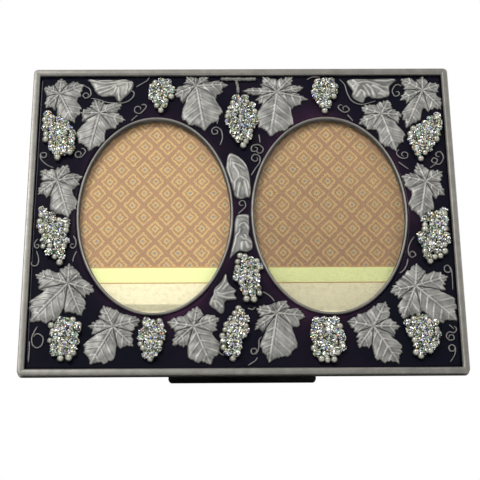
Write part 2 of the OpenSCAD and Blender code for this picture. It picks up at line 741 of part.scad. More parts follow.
// A strip with a flat bottom and a ridge, swept along a curve
module strand(points, width, rise, steps) {
    path = curve(points, steps);
    last = len(path) - 1;
    rings = [
        for (i = [0:last])
            let (
                ahead = path[min(i + 1, last)] - path[max(i - 1, 0)],
                across = [-ahead[1], ahead[0]] / norm(ahead) * width / 2,
                a = path[i] + across,
                b = path[i] - across
            )
            concat(level([a, b], 0), level([b], rise / 2), level([path[i]], rise), level([a], rise / 2))
    ];
    sides = len(rings[0]);
    faces = concat(
        [[for (k = [0:sides - 1]) k]],
        [for (i = [0:last - 1], k = [0:sides - 1])
            let (a = i * sides + k, b = i * sides + (k + 1) % sides)
            each [[a, a + sides, b], [b, a + sides, b + sides]]],
        [[for (k = [sides - 1:-1:0]) last * sides + k]]
    );
    polyhedron([for (ring = rings) each ring], faces);
}

module vine(strips, width, rise, steps) {
    for (strip = strips)
        strand([for (share = strip) on_face(share)], width * relief_fit, rise * relief_fit, steps);
}

module tendrils() {
    color(pewter) on_enamel() vine(tendril_shares, tendril_w, tendril_rise, tendril_steps);
}

module twig() {
    color(old_pewter) on_enamel() vine(twig_shares, twig_w, twig_rise, twig_steps);
}

// Panes and boards

module pane(side, depth, thickness, inset) {
    stand() slab(depth, thickness) at_window(side) rectangle(pane_w - 2 * inset, pane_h - 2 * inset, 0);
}

module glass(side) {
    color("#cfe0e0", 0.35) pane(side, glass_d, glass_t, 0);
}

module print_card(side) {
    color("#b4825e") pane(side, print_d, print_t, card_inset);
}

module filler_board(side) {
    color("#b9b2a0") pane(side, filler_d, filler_t, card_inset);
}

module back_board() {
    board_w = wall_inner_w - 2 * board_clearance;
    board_h = wall_inner_h - 2 * board_clearance;
    color(velvet) stand()
        slab(board_d, board_t) rounded_rectangle(board_w, board_h, board_corner_r);
}

// Turn buttons

module turn_button(side) {
    color(steel) stand() at_button(side)
        difference() {
            union() {
                peg(button_d, button_t, button_r);
                slab(button_d, button_t)
                    translate([-button_r, 0]) square([2 * button_r, button_reach - button_r]);
                translate([0, button_reach - button_r, 0]) peg(button_d, button_t, button_r);
            }
            peg(button_d - overrun, button_t + 2 * overrun, screw_r + button_running);
        }
}

module turn_button_screws() {
    color(steel) stand() every_button()
        difference() {
            union() {
                peg(back_d - screw_bite, screw_head_d - back_d + screw_bite, screw_r);
                peg(screw_head_d, screw_head_h, screw_head_r);
            }
            slab(screw_head_d + screw_head_h - screw_slot_depth, screw_slot_depth + overrun)
                square([2 * (screw_head_r + overrun), screw_slot_w], center = true);
        }
}

// Easel

module rivet_places(up) {
    for (side = [-1, 1])
        translate([side * rivet_x, hinge_height + up * rivet_reach, 0]) children();
}

module rivets(up) {
    dome_r = (rivet_head_r * rivet_head_r + rivet_head_h * rivet_head_h) / (2 * rivet_head_h);
    rivet_places(up) {
        peg(hinge_d - rivet_bite, rivet_bite + hinge_leaf_t, rivet_r);
        intersection() {
            translate([0, 0, -hinge_d - hinge_leaf_t - rivet_head_h + dome_r]) sphere(dome_r);
            peg(hinge_d + hinge_leaf_t, rivet_head_h + overrun, rivet_head_r);
        }
    }
}

module rivet_bores(up) {
    bite = rivet_bite + rivet_fit;
    rivet_places(up) peg(hinge_d - bite, bite + hinge_leaf_t + overrun, rivet_r + rivet_fit);
}

// One hinge leaf with its knuckles, on the side above or below the axis
module hinge_leaf(up, knuckles, bore_r) {
    plate_start = knuckle_r + knuckle_room;
    difference() {
        union() {
            slab(hinge_d, hinge_leaf_t)
                translate([-hinge_w / 2, hinge_height + (up > 0 ? plate_start : -hinge_leaf_h)])
                    square([hinge_w, hinge_leaf_h - plate_start]);
            for (k = knuckles) translate([-hinge_w / 2 + k * knuckle_pitch, hinge_height, 0]) {
                slab(hinge_d, hinge_leaf_t)
                    translate([0, up > 0 ? 0 : -plate_start])
                        square([knuckle_pitch - knuckle_gap, plate_start]);
                translate([0, 0, -axis_d]) rotate([0, 90, 0])
                    cylinder(h = knuckle_pitch - knuckle_gap, r = knuckle_r);
            }
        }
        translate([-hinge_w / 2 - overrun, hinge_height, -axis_d]) rotate([0, 90, 0])
            cylinder(h = hinge_w + 2 * overrun, r = bore_r);
        rivet_bores(up);
    }
}

module strut_block() {
    color(velvet) stand()
        difference() {
            slab(back_d, hinge_d - back_d)
                rounded_rectangle(leg_top_w, strut_h, board_corner_r,
                    y = hinge_height + hinge_setback + strut_h / 2);
            rivet_bores(1);
        }
}

// The leg's outline widens to its foot, whose corners are arcs.
module leg_outline() {
    top = hinge_height - hinge_setback;
    foot = hinge_height - leg_reach;
    taper = atan2((leg_foot_w - leg_top_w) / 2, top - foot);
    arc_x = leg_foot_w / 2 - leg_corner_r * tan(45 + taper / 2);
    arc = [
        for (k = [0:corner_steps])
            polar([arc_x, foot + leg_corner_r], -90 + k / corner_steps * (90 + taper), leg_corner_r)
    ];
    polygon(concat(
        arc,
        [[leg_top_w / 2, top], [-leg_top_w / 2, top]],
        [for (k = [len(arc) - 1:-1:0]) [-arc[k][0], arc[k][1]]]
    ));
}

module easel_leg() {
    color(velvet)
        difference() {
            stand() swing(open_angle)
                difference() {
                    slab(leg_d, leg_t) leg_outline();
                    rivet_bores(-1);
                }
            translate([-half_w, -half_h, -face_h]) cube([face_w, face_h, face_h]);
        }
}

module hinge_board_leaf() {
    color(steel) stand() hinge_leaf(1, [0, 2, 4], pin_r + pin_fit);
}

module hinge_leg_leaf() {
    color(steel) stand() swing(open_angle) hinge_leaf(-1, [1, 3], pin_r + pin_running);
}

module hinge_pin() {
    color(steel) stand()
        translate([-hinge_w / 2, hinge_height, -axis_d]) rotate([0, 90, 0])
            cylinder(h = hinge_w, r = pin_r);
}

module hinge_rivets_board() {
    color(steel) stand() rivets(1);
}

module hinge_rivets_leg() {
    color(steel) stand() swing(open_angle) rivets(-1);
}

// Stay ribbon, drawn out straight while the leg stands open

module stay_ribbon() {
    color(velvet) stand()
        translate([0, stay_start[0], -stay_start[1]]) rotate([stay_slope, 0, 0])
            translate([-ribbon_w / 2, -ribbon_t / 2, ribbon_gap - stay_run])
                cube([ribbon_w, ribbon_t, stay_run - 2 * ribbon_gap]);
}

module ribbon_tab_board() {
    color(velvet) stand()
        slab(back_d, tab_t)
            translate([-ribbon_w / 2, stay_start[0] - tab_offset - tab_length])
                square([ribbon_w, tab_length]);
}

module ribbon_tab_leg() {
    color(velvet) stand() swing(open_angle)
        slab(leg_d - tab_t, tab_t)
            translate([-ribbon_w / 2, hinge_height - stay_drop + tab_offset])
                square([ribbon_w, tab_length]);
}

front_casting();
enamel_fill();
for (leaf = leaf_shares)
    color(pewter) on_enamel() grape_leaf(on_face(leaf[1]), leaf[2]);
for (leaf = folded_leaf_shares)
    color(pewter) on_enamel() folded_leaf(on_face(leaf[1]), [for (share = leaf[2]) on_face(share)]);
for (cluster = grape_shares)
    color(cluster[3]) on_enamel() grape_cluster(on_face(cluster[1]), cluster[2]);
tendrils();
twig();
glass(-1);  // glass_left
glass(1);  // glass_right
print_card(-1);  // print_card_left
print_card(1);  // print_card_right
filler_board(-1);  // filler_board_left
filler_board(1);  // filler_board_right
back_board();
turn_button([-1, 1]);  // turn_button_top_left
turn_button([1, 1]);  // turn_button_top_right
turn_button([-1, -1]);  // turn_button_bottom_left
turn_button([1, -1]);  // turn_button_bottom_right
turn_button_screws();
strut_block();
easel_leg();
hinge_board_leaf();
hinge_leg_leaf();
hinge_pin();
hinge_rivets_board();
hinge_rivets_leg();
stay_ribbon();
ribbon_tab_board();
ribbon_tab_leg();
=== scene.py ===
import math
import bpy
import numpy as np
from mathutils import Matrix, Vector


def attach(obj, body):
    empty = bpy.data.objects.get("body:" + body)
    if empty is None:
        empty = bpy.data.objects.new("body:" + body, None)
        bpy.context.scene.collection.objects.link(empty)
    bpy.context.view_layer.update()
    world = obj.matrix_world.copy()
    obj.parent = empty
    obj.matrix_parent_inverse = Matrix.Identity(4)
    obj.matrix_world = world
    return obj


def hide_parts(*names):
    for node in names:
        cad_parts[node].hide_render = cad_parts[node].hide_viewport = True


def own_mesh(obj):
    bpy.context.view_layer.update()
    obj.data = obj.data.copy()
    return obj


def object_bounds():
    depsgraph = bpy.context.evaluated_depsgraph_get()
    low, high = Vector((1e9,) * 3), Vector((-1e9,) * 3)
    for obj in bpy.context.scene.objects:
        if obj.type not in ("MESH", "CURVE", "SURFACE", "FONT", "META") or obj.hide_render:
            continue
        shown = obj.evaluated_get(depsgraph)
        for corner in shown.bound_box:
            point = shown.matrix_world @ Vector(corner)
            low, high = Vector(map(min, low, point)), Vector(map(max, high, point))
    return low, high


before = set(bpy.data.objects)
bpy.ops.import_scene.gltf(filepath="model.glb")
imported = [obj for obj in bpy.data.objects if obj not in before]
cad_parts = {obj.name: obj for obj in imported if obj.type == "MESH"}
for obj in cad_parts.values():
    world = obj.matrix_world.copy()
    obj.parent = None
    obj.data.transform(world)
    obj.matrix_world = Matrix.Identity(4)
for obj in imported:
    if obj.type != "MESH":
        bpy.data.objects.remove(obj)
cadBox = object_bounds()
print("frame loaded")

# Build sizes in millimetres, as the casting has them
face = {
    "width": 240.0,
    "height": 190.0,
    "lean": math.radians(19.0),
    "rimDepth": 4.6,        # front of the rail to the back of the floor
    "railRise": 2.6,        # front of the rail above the enamel
    "railWidth": 3.7,
    "cornerRadius": 2.5,
    "bevel": 0.8,
    "enamel": 0.4,
    "backDepth": 10.6,      # front of the rail to the back of the wall
    "windowX": 48.5,
    "windowLift": 1.5,
    "windowA": 41.75,
    "windowB": 60.0,
    "bezelWidth": 2.0,
}
mm = 0.001
leanSin, leanCos = math.sin(face["lean"]), math.cos(face["lean"])
frontY = cadBox[0][1] / mm
liftZ = face["rimDepth"] * leanSin
halfW, halfH = face["width"] / 2, face["height"] / 2
rise = face["railRise"]
floorH = -face["enamel"]
backH = rise - face["rimDepth"]
innerSize = (halfW - face["railWidth"], halfH - face["railWidth"])


# Face coordinates: x across and v up from the face's middle, h out of the enamel.
def toWorld(points):
    points = np.asarray(points, float)
    depth = rise - points[..., 2]
    up = points[..., 1] + halfH
    y = depth * leanCos + up * leanSin + frontY
    z = up * leanCos - depth * leanSin + liftZ
    return np.stack([points[..., 0], y, z], -1) * mm


def toFace(world):
    p = np.asarray(world, float) / mm
    y, z = p[..., 1] - frontY, p[..., 2] - liftZ
    depth = y * leanCos - z * leanSin
    up = y * leanSin + z * leanCos
    return np.stack([p[..., 0], up - halfH, rise - depth], -1)


def nodePoints(name):
    # All separate points of a CAD node, in face coordinates
    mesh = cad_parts[name].data
    flat = np.zeros(len(mesh.vertices) * 3, np.float32)
    mesh.vertices.foreach_get("co", flat)
    return np.unique(np.round(toFace(flat.reshape(-1, 3)), 3), axis=0)


# Meshes

def loopPairs(count):
    # Each place of a closed loop, and the place after it
    here = np.arange(count)
    return here, (here + 1) % count


def gridFaces(rows, count):
    # Quads between neighbouring rows, each a closed loop of `count` points
    row = np.arange(rows - 1)[:, None] * count
    here, after = loopPairs(count)
    quads = row + here, row + after, row + count + after, row + count + here
    return np.stack(quads, -1).reshape(-1, 4)


def ringFaces(rows, count):
    # The same with the last row joined to the first, turned to face outwards
    here, after = loopPairs(count)
    last = (rows - 1) * count
    closing = np.stack([last + here, last + after, after, here], -1)
    return np.concatenate([gridFaces(rows, count), closing])[:, ::-1]


def fanFaces(start, count, centre, flip=False):
    # Triangles from a loop of points to one point in its middle
    here, after = loopPairs(count)
    fan = np.stack([np.full(count, centre), start + here, start + after], -1)
    return fan[:, ::-1] if flip else fan


def makePiece(name, points, faces, material, replaced=(), smooth=True, values=None,
              uv=None, materialIndex=None):
    # faces is a list of index arrays; values gives each attribute one number or colour a point
    mesh = bpy.data.meshes.new(name)
    loops = np.concatenate([np.asarray(f, np.int32).ravel() for f in faces])
    counts = np.concatenate([np.full(len(f), np.asarray(f).shape[1], np.int32) for f in faces])
    starts = np.concatenate([[0], np.cumsum(counts)[:-1]]).astype(np.int32)
    flags = np.full(len(counts), smooth) if np.isscalar(smooth) else smooth
    mesh.vertices.add(len(points))
    mesh.vertices.foreach_set("co", toWorld(points).astype(np.float32).ravel())
    mesh.loops.add(len(loops))
    mesh.loops.foreach_set("vertex_index", loops)
    mesh.polygons.add(len(counts))
    mesh.polygons.foreach_set("loop_start", starts)
    mesh.polygons.foreach_set("use_smooth", flags)
    if materialIndex is not None:
        mesh.polygons.foreach_set("material_index", materialIndex.astype(np.int32))
    mesh.update(calc_edges=True)
    mesh.validate()
    for key, value in (values or {}).items():
        value = np.asarray(value, np.float32)
        if value.ndim == 1:
            mesh.attributes.new(key, "FLOAT", "POINT").data.foreach_set("value", value)
        else:
            colour = np.concatenate([value, np.ones((len(value), 1), np.float32)], 1)
            layer = mesh.attributes.new(key, "FLOAT_COLOR", "POINT")
            layer.data.foreach_set("color", colour.ravel())
    if uv is not None:
        layer = mesh.uv_layers.new(name="UVMap")
        layer.data.foreach_set("uv", np.asarray(uv, np.float32)[loops].ravel())
    for m in material if isinstance(material, (list, tuple)) else [material]:
        mesh.materials.append(m)
    piece = bpy.data.objects.new(name, mesh)
    bpy.context.scene.collection.objects.link(piece)
    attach(piece, "frame")
    if replaced:
        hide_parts(*replaced)
    return piece


def atHeight(flat, h):
    return np.column_stack([flat, np.full(len(flat), h)])


def layOut(around, across):
    # The UV place of each point of a grid: one row of `around` for each of `across`
    return np.stack(np.broadcast_arrays(around[None, :], across[:, None]), -1).reshape(-1, 2)


def pieceName(start, node):
    return start + "".join(word.title() for word in node.split("_")[1:])


def curveThrough(a, b, c, d, steps):
    # Smooth spans from each b to its c, which lean on a before and d after: a cubic in the share
    # t of the way, with `steps` points a span
    t = (np.arange(steps) / steps)[None, :, None]
    square = 2 * a - 5 * b + 4 * c - d
    cube = 3 * b - a - 3 * c + d
    return (2 * b + t * (c - a) + t**2 * square + t**3 * cube) / 2


def smoothClosed(points, steps):
    spans = (np.roll(points, shift, axis=0)[:, None] for shift in (1, 0, -1, -2))
    return curveThrough(*spans, steps).reshape(-1, points.shape[1])


def smoothOpen(points, steps):
    p = np.asarray(points, float)
    p = np.concatenate([p[:1], p, p[-1:]])
    spans = (p[k:len(p) - 3 + k][:, None] for k in range(4))
    return np.concatenate([curveThrough(*spans, steps).reshape(-1, p.shape[1]), p[-1:]])


def segmentDistance(points, starts, ends, block=1500):
    # Distance of every point to the nearest segment, worked out a block of points at a time
    starts, along = starts.astype(np.float32), (ends - starts).astype(np.float32)
    square = np.maximum((along**2).sum(-1), 1e-9)
    out = np.empty(len(points), np.float32)
    for k in range(0, len(points), block):
        rel = points[k:k + block, None].astype(np.float32) - starts[None]
        t = np.clip((rel[..., 0] * along[:, 0] + rel[..., 1] * along[:, 1]) / square, 0, 1)
        gapX, gapY = rel[..., 0] - t * along[:, 0], rel[..., 1] - t * along[:, 1]
        out[k:k + block] = np.sqrt((gapX**2 + gapY**2).min(1))
    return out


def hill(distance, width):
    # Bell curve: 1 at no distance, about a third at `width`
    return np.exp(-(distance / width) ** 2)


def levelOff(distance, width):
    # Rises from 0 and levels off at 1
    return 1 - np.exp(-distance / width)


def waves(points, seed, scale):
    # Uneven swell from six sine waves in seeded directions, between about -1 and 1
    x, y = points[:, 0], points[:, 1]
    dice = np.random.default_rng(seed)
    angles = dice.uniform(0, 2 * np.pi, 6)
    sizes, shifts = dice.uniform(0.6, 1.6, 6), dice.uniform(0, 6, 6)
    total = sum(np.sin((x * np.cos(a) + y * np.sin(a)) * s / scale + p)
                for a, s, p in zip(angles, sizes, shifts))
    return total / 3.5


# Materials

def feed(tree, socket, value):
    # A socket takes another node's output or a plain value; a colour is given without its alpha
    if isinstance(value, bpy.types.NodeSocket):
        tree.links.new(value, socket)
    else:
        short = socket.type == "RGBA" and len(value) == 3
        socket.default_value = (*value, 1.0) if short else value


def addNode(tree, kind, inputs=None, **settings):
    node = tree.nodes.new(kind)
    for key, value in settings.items():
        setattr(node, key, value)
    for key, value in (inputs or {}).items():
        feed(tree, node.inputs[key], value)
    return node


def startMaterial(name, sockets):
    material = bpy.data.materials.new(name)
    material.use_nodes = True
    tree = material.node_tree
    shader = tree.nodes["Principled BSDF"]
    for key, value in sockets.items():
        feed(tree, shader.inputs[key], value)
    return material, tree, shader


def objectPlace(tree):
    return addNode(tree, "ShaderNodeTexCoord").outputs["Object"]


def uvPlace(tree):
    return addNode(tree, "ShaderNodeUVMap", uv_map="UVMap").outputs["UV"]


def stretch(tree, vector, scale):
    return addNode(tree, "ShaderNodeMapping", {"Vector": vector, "Scale": scale}).outputs[0]


def noise(tree, vector, scale, detail=4.0, roughness=0.55):
    return addNode(tree, "ShaderNodeTexNoise", {"Vector": vector, "Scale": scale, "Detail": detail,
                                                "Roughness": roughness}).outputs["Fac"]


def ramp(tree, factor, *stops):
    # A ramp through stops of (place, colour or grey); each element is made where it stays
    stops = [(place, tone if isinstance(tone, tuple) else (tone,) * 3) for place, tone in stops]
    node = addNode(tree, "ShaderNodeValToRGB", {"Fac": factor})
    elements = node.color_ramp.elements
    elements[0].position, elements[0].color = stops[0][0], (*stops[0][1], 1.0)
    elements[1].position, elements[1].color = stops[-1][0], (*stops[-1][1], 1.0)
    for place, colour in stops[1:-1]:
        elements.new(place).color = (*colour, 1.0)
    return node.outputs["Color"]


def mixColour(tree, factor, a, b, blend="MIX"):
    return addNode(tree, "ShaderNodeMix", data_type="RGBA", blend_type=blend,
                   inputs={0: factor, 6: a, 7: b}).outputs[2]


def mathNode(tree, operation, a, b=0.0):
    return addNode(tree, "ShaderNodeMath", {0: a, 1: b}, operation=operation).outputs[0]


def attribute(tree, name, output="Fac"):
    return addNode(tree, "ShaderNodeAttribute", attribute_name=name).outputs[output]


def bump(tree, shader, height, strength, distance):
    node = addNode(tree, "ShaderNodeBump", {"Height": height, "Strength": strength,
                                            "Distance": distance})
    feed(tree, shader.inputs["Normal"], node.outputs["Normal"])


pewterLook = {
    "light": (0.335, 0.328, 0.298),
    "middle": (0.088, 0.088, 0.083),
    "dark": (0.016, 0.016, 0.019),
    "metallic": 0.35,
    "roughness": 0.46,
    "cloudScale": 160.0,
    "grainScale": 1400.0,
    "grainDepth": 0.00012,
    "streakScale": (14.0, 900.0, 1.0),      # along and across the rail
    "streakTone": 0.42,
}


def pewterMaterial(name, streaks=False, **changes):
    # Cast pewter: light where the attribute "rub" says it is rubbed bright, dark where the darkness
    # attribute says: patina in hollows, and painted shade on the balls under the stones; with
    # clouds and a fine grain between
    look = dict(pewterLook, **changes)
    light, middle = look["light"], look["middle"]
    material, tree, shader = startMaterial(name, {"Metallic": look["metallic"]})
    where = objectPlace(tree)
    cloud = noise(tree, where, look["cloudScale"], 5.0, 0.6)
    grain = noise(tree, where, look["grainScale"], 3.0, 0.6)
    half = tuple((a + b) / 2 for a, b in zip(middle, light))
    tone = ramp(tree, cloud, (0.35, middle), (0.68, half))
    tone = mixColour(tree, attribute(tree, "rub"), tone, light)
    if streaks:
        brushed = noise(tree, stretch(tree, uvPlace(tree), look["streakScale"]), 1.0, 5.0, 0.6)
        tone = mixColour(tree, ramp(tree, brushed, (0.3, 0.0), (0.75, 0.75)), tone,
                         tuple(look["streakTone"] * c for c in light))
    patinaAndShadeAmount = mathNode(tree, "MULTIPLY", attribute(tree, "age"),
                    ramp(tree, grain, (0.3, 0.78), (0.7, 1.0)))
    feed(tree, shader.inputs["Base Color"], mixColour(tree, patinaAndShadeAmount, tone, look["dark"]))
    uneven = mathNode(tree, "MULTIPLY", grain, 0.16)
    feed(tree, shader.inputs["Roughness"], mathNode(tree, "ADD", uneven, look["roughness"] - 0.08))
    bump(tree, shader, grain, 0.35, look["grainDepth"])
    return material


leafPewter = pewterMaterial("leafPewter")
railPewter = pewterMaterial("railPewter", streaks=True, light=(0.27, 0.257, 0.228),
                            middle=(0.13, 0.124, 0.11), metallic=0.55, roughness=0.42)
plainPewter = pewterMaterial("plainPewter", roughness=0.5)
wirePewter = pewterMaterial("wirePewter", light=(0.17, 0.166, 0.154),
                            middle=(0.095, 0.093, 0.088))
ballPewter = pewterMaterial("ballPewter", light=(0.50, 0.49, 0.42), middle=(0.26, 0.255, 0.21),
                            metallic=0.6, roughness=0.28)

enamelLook = {
    "sockets": {"Roughness": 0.16, "Specular IOR Level": 0.05},
    "dark": (0.002, 0.0025, 0.006),
    "purple": (0.032, 0.011, 0.028),
    "cloudScale": 55.0,
    "rippleScale": 130.0,
    "rippleDepth": 0.0004,
}


def enamelMaterial():
    # Dark glossy enamel, aubergine where the attribute "purple" says so
    material, tree, shader = startMaterial("auberginEnamel", enamelLook["sockets"])
    where = objectPlace(tree)
    cloud = noise(tree, where, enamelLook["cloudScale"], 4.0, 0.6)
    amount = mathNode(tree, "MULTIPLY", attribute(tree, "purple"),
                      ramp(tree, cloud, (0.35, 0.2), (0.7, 1.0)))
    tone = mixColour(tree, amount, enamelLook["dark"], enamelLook["purple"])
    feed(tree, shader.inputs["Base Color"], tone)
    ripple = noise(tree, where, enamelLook["rippleScale"], 2.0, 0.5)
    bump(tree, shader, ripple, 0.25, enamelLook["rippleDepth"])
    return material


stoneLook = {
    "sockets": {"Metallic": 0.5, "Roughness": 0.10, "Coat Weight": 0.6, "Coat Roughness": 0.04},
    "glitterScale": 2600.0,
}


def stoneMaterial():
    # Cut stones, each in the colour of the attribute "stone"; the near-black ones are painted
    # shade for the gaps between stones
    material, tree, shader = startMaterial("cutStones", stoneLook["sockets"])
    glitter = noise(tree, objectPlace(tree), stoneLook["glitterScale"], 1.0, 0.5)
    tone = mixColour(tree, 1.0, attribute(tree, "stone", "Color"),
                     ramp(tree, glitter, (0.38, 0.55), (0.58, 1.0)), "MULTIPLY")
    feed(tree, shader.inputs["Base Color"], tone)
    return material


velvetLook = {
    "sockets": {"Roughness": 0.95, "Specular IOR Level": 0.15, "Sheen Weight": 0.55,
                "Sheen Roughness": 0.4, "Sheen Tint": (0.5, 0.5, 0.54)},
    "brushedScale": 28.0,
    "napScale": 2400.0,
    "napDepth": 0.0003,
}


def velvetMaterial():
    # Black pile: soft sheen at grazing angles, brushed patches, a fine nap
    material, tree, shader = startMaterial("blackVelvet", velvetLook["sockets"])
    where = objectPlace(tree)
    brushed = noise(tree, where, velvetLook["brushedScale"], 3.0, 0.5)
    nap = noise(tree, where, velvetLook["napScale"], 2.0, 0.7)
    tone = ramp(tree, brushed, (0.35, 0.006), (0.7, 0.030))
    tone = mixColour(tree, ramp(tree, nap, (0.45, 0.0), (0.8, 0.6)), tone, (0.05, 0.05, 0.05))
    feed(tree, shader.inputs["Base Color"], tone)
    bump(tree, shader, nap, 0.7, velvetLook["napDepth"])
    return material


ribbonLook = {
    "sockets": {"Roughness": 0.5, "Sheen Weight": 0.3},
    "ribs": {"Scale": 0.9, "Distortion": 0.3},
    "ribDepth": 0.00008,
}


def ribbonMaterial():
    # Woven satin ribbon: fine cross ribs, counted in millimetres by the UV map
    material, tree, shader = startMaterial("blackRibbon", ribbonLook["sockets"])
    ribs = addNode(tree, "ShaderNodeTexWave", {"Vector": uvPlace(tree), **ribbonLook["ribs"]},
                   bands_direction="Y").outputs["Fac"]
    feed(tree, shader.inputs["Base Color"], ramp(tree, ribs, (0.0, 0.006), (1.0, 0.035)))
    bump(tree, shader, ribs, 0.5, ribbonLook["ribDepth"])
    return material


steelLook = {"sockets": {"Metallic": 1.0}, "scratchScale": (300.0, 3000.0, 3000.0)}


def steelMaterial():
    # Plated steel with fine scratches
    material, tree, shader = startMaterial("platedSteel", steelLook["sockets"])
    scratches = noise(tree, stretch(tree, objectPlace(tree), steelLook["scratchScale"]), 1.0)
    feed(tree, shader.inputs["Base Color"], ramp(tree, scratches, (0.3, 0.42), (0.7, 0.62)))
    feed(tree, shader.inputs["Roughness"], ramp(tree, scratches, (0.3, 0.22), (0.7, 0.4)))
    return material


def emptyMaterial(name):
    material = bpy.data.materials.new(name)
    material.use_nodes = True
    material.node_tree.nodes.clear()
    return material, material.node_tree, addNode(material.node_tree, "ShaderNodeOutputMaterial")


glassLook = {"clear": (0.97, 0.98, 0.97), "gloss": (1.0, 1.0, 1.0), "roughness": 0.02, "ior": 1.45}


def glassMaterial():
    # Thin clear pane: what lies behind it shows unbent, under a gloss on its front that grows as
    # the view grazes it. Seen from inside the pane, no face reflects.
    material, tree, output = emptyMaterial("paneGlass")
    clear = addNode(tree, "ShaderNodeBsdfTransparent", {"Color": glassLook["clear"]})
    gloss = addNode(tree, "ShaderNodeBsdfGlossy", {"Color": glassLook["gloss"],
                                                   "Roughness": glassLook["roughness"]})
    inside = addNode(tree, "ShaderNodeNewGeometry").outputs["Backfacing"]
    fresnel = addNode(tree, "ShaderNodeFresnel", {"IOR": glassLook["ior"]}).outputs[0]
    share = mathNode(tree, "MULTIPLY", fresnel, mathNode(tree, "SUBTRACT", 1.0, inside))
    both = addNode(tree, "ShaderNodeMixShader",
                   {0: share, 1: clear.outputs[0], 2: gloss.outputs[0]}).outputs[0]
    feed(tree, output.inputs["Surface"], both)
    return material


printLook = {
    "ground": (0.53, 0.345, 0.125),
    "lattice": (0.31, 0.15, 0.075),
    "dot": (0.15, 0.19, 0.20),
    "cream": (0.74, 0.66, 0.44),
    "creamWorn": (0.62, 0.52, 0.32),
    "lime": (0.70, 0.72, 0.30),
    "rule": (0.45, 0.25, 0.08),
    "cell": (13.0, 15.0),   # width and height of one diamond of the trellis
    "wobble": 0.22,
    "creamTop": -41.0,      # height of the plain cream foot of the card
    "creamRule": 0.7,
    "limeTop": -31.5,
    "limeRule": 0.9,
}


def printMaterial():
    # Printed card: a trellis of diamonds within diamonds, over a lime band and a cream foot. The
    # UV map gives millimetres across and up from the window's middle.
    look = printLook
    ground, lattice, dot = look["ground"], look["lattice"], look["dot"]
    material, tree, shader = startMaterial("printedCard", {"Roughness": 0.7})
    uv = uvPlace(tree)
    parts = addNode(tree, "ShaderNodeSeparateXYZ", {"Vector": uv})
    x, y = parts.outputs[0], parts.outputs[1]
    wobble = mathNode(tree, "MULTIPLY", mathNode(tree, "SUBTRACT", noise(tree, uv, 0.5, 3.0), 0.5),
                      look["wobble"])
    across = mathNode(tree, "ADD", mathNode(tree, "DIVIDE", x, look["cell"][0]), wobble)
    lanes = []
    for sign in ("ADD", "SUBTRACT"):
        slanted = mathNode(tree, sign, mathNode(tree, "ADD", across, 40.0),
                           mathNode(tree, "DIVIDE", y, look["cell"][1]))
        lane = mathNode(tree, "SUBTRACT", mathNode(tree, "FRACT", slanted), 0.5)
        lanes.append(mathNode(tree, "ABSOLUTE", lane))
    ring = mathNode(tree, "MULTIPLY", mathNode(tree, "MAXIMUM", *lanes), 2.0)
    card = ramp(tree, ring, (0.0, dot), (0.12, dot), (0.16, ground), (0.30, ground),
                (0.34, lattice), (0.54, lattice), (0.58, ground), (0.74, ground), (0.78, lattice),
                (1.0, lattice))
    ink = noise(tree, uv, 1.6, 5.0, 0.75)
    card = mixColour(tree, ramp(tree, ink, (0.46, 0.0), (0.62, 0.5)), card, ground)
    faded = noise(tree, uv, 0.8, 4.0, 0.7)
    card = mixColour(tree, ramp(tree, faded, (0.5, 0.0), (0.68, 0.45)), card, lattice)
    blotch = ramp(tree, noise(tree, uv, 0.09, 4.0, 0.65), (0.3, 0.86), (0.7, 1.0))
    card = mixColour(tree, 1.0, card, blotch, "MULTIPLY")
    paper = ramp(tree, noise(tree, uv, 0.35, 6.0, 0.7), (0.3, look["creamWorn"]),
                 (0.52, look["cream"]))
    lime = mixColour(tree, ramp(tree, ink, (0.35, 0.25), (0.7, 0.0)), look["lime"], look["cream"])
    for top, tone in ((look["limeTop"] + look["limeRule"], look["rule"]), (look["limeTop"], lime),
                      (look["creamTop"] + look["creamRule"], look["rule"]),
                      (look["creamTop"], paper)):
        card = mixColour(tree, mathNode(tree, "LESS_THAN", y, top), card, tone)
    fibre = noise(tree, uv, 6.0, 3.0, 0.7)
    card = mixColour(tree, 1.0, card, ramp(tree, fibre, (0.3, 0.88), (0.7, 1.0)), "MULTIPLY")
    feed(tree, shader.inputs["Base Color"], card)
    bump(tree, shader, fibre, 0.15, 0.0001)
    return material


boardLook = {
    "sockets": {"Roughness": 0.9},
    "dark": (0.30, 0.27, 0.21),
    "light": (0.42, 0.39, 0.32),
    "fibreScale": 900.0,
}


def boardMaterial():
    # Plain grey filler board with fibres
    material, tree, shader = startMaterial("fillerBoard", boardLook["sockets"])
    fibre = noise(tree, objectPlace(tree), boardLook["fibreScale"], 4.0, 0.7)
    tone = ramp(tree, fibre, (0.3, boardLook["dark"]), (0.7, boardLook["light"]))
    feed(tree, shader.inputs["Base Color"], tone)
    return material


enamel, stones, velvet = enamelMaterial(), stoneMaterial(), velvetMaterial()
ribbon, steel, glass = ribbonMaterial(), steelMaterial(), glassMaterial()
printed, filler = printMaterial(), boardMaterial()
print("materials made")


# Casting

railShape = {
    "edgeRound": 0.55,
    "cornerSteps": 8,
    "sideStep": 3.0,
    "innerCorner": 0.35,
    "sway": 0.03,           # unevenness of the rail's front
    "swayLength": 9.0,
}


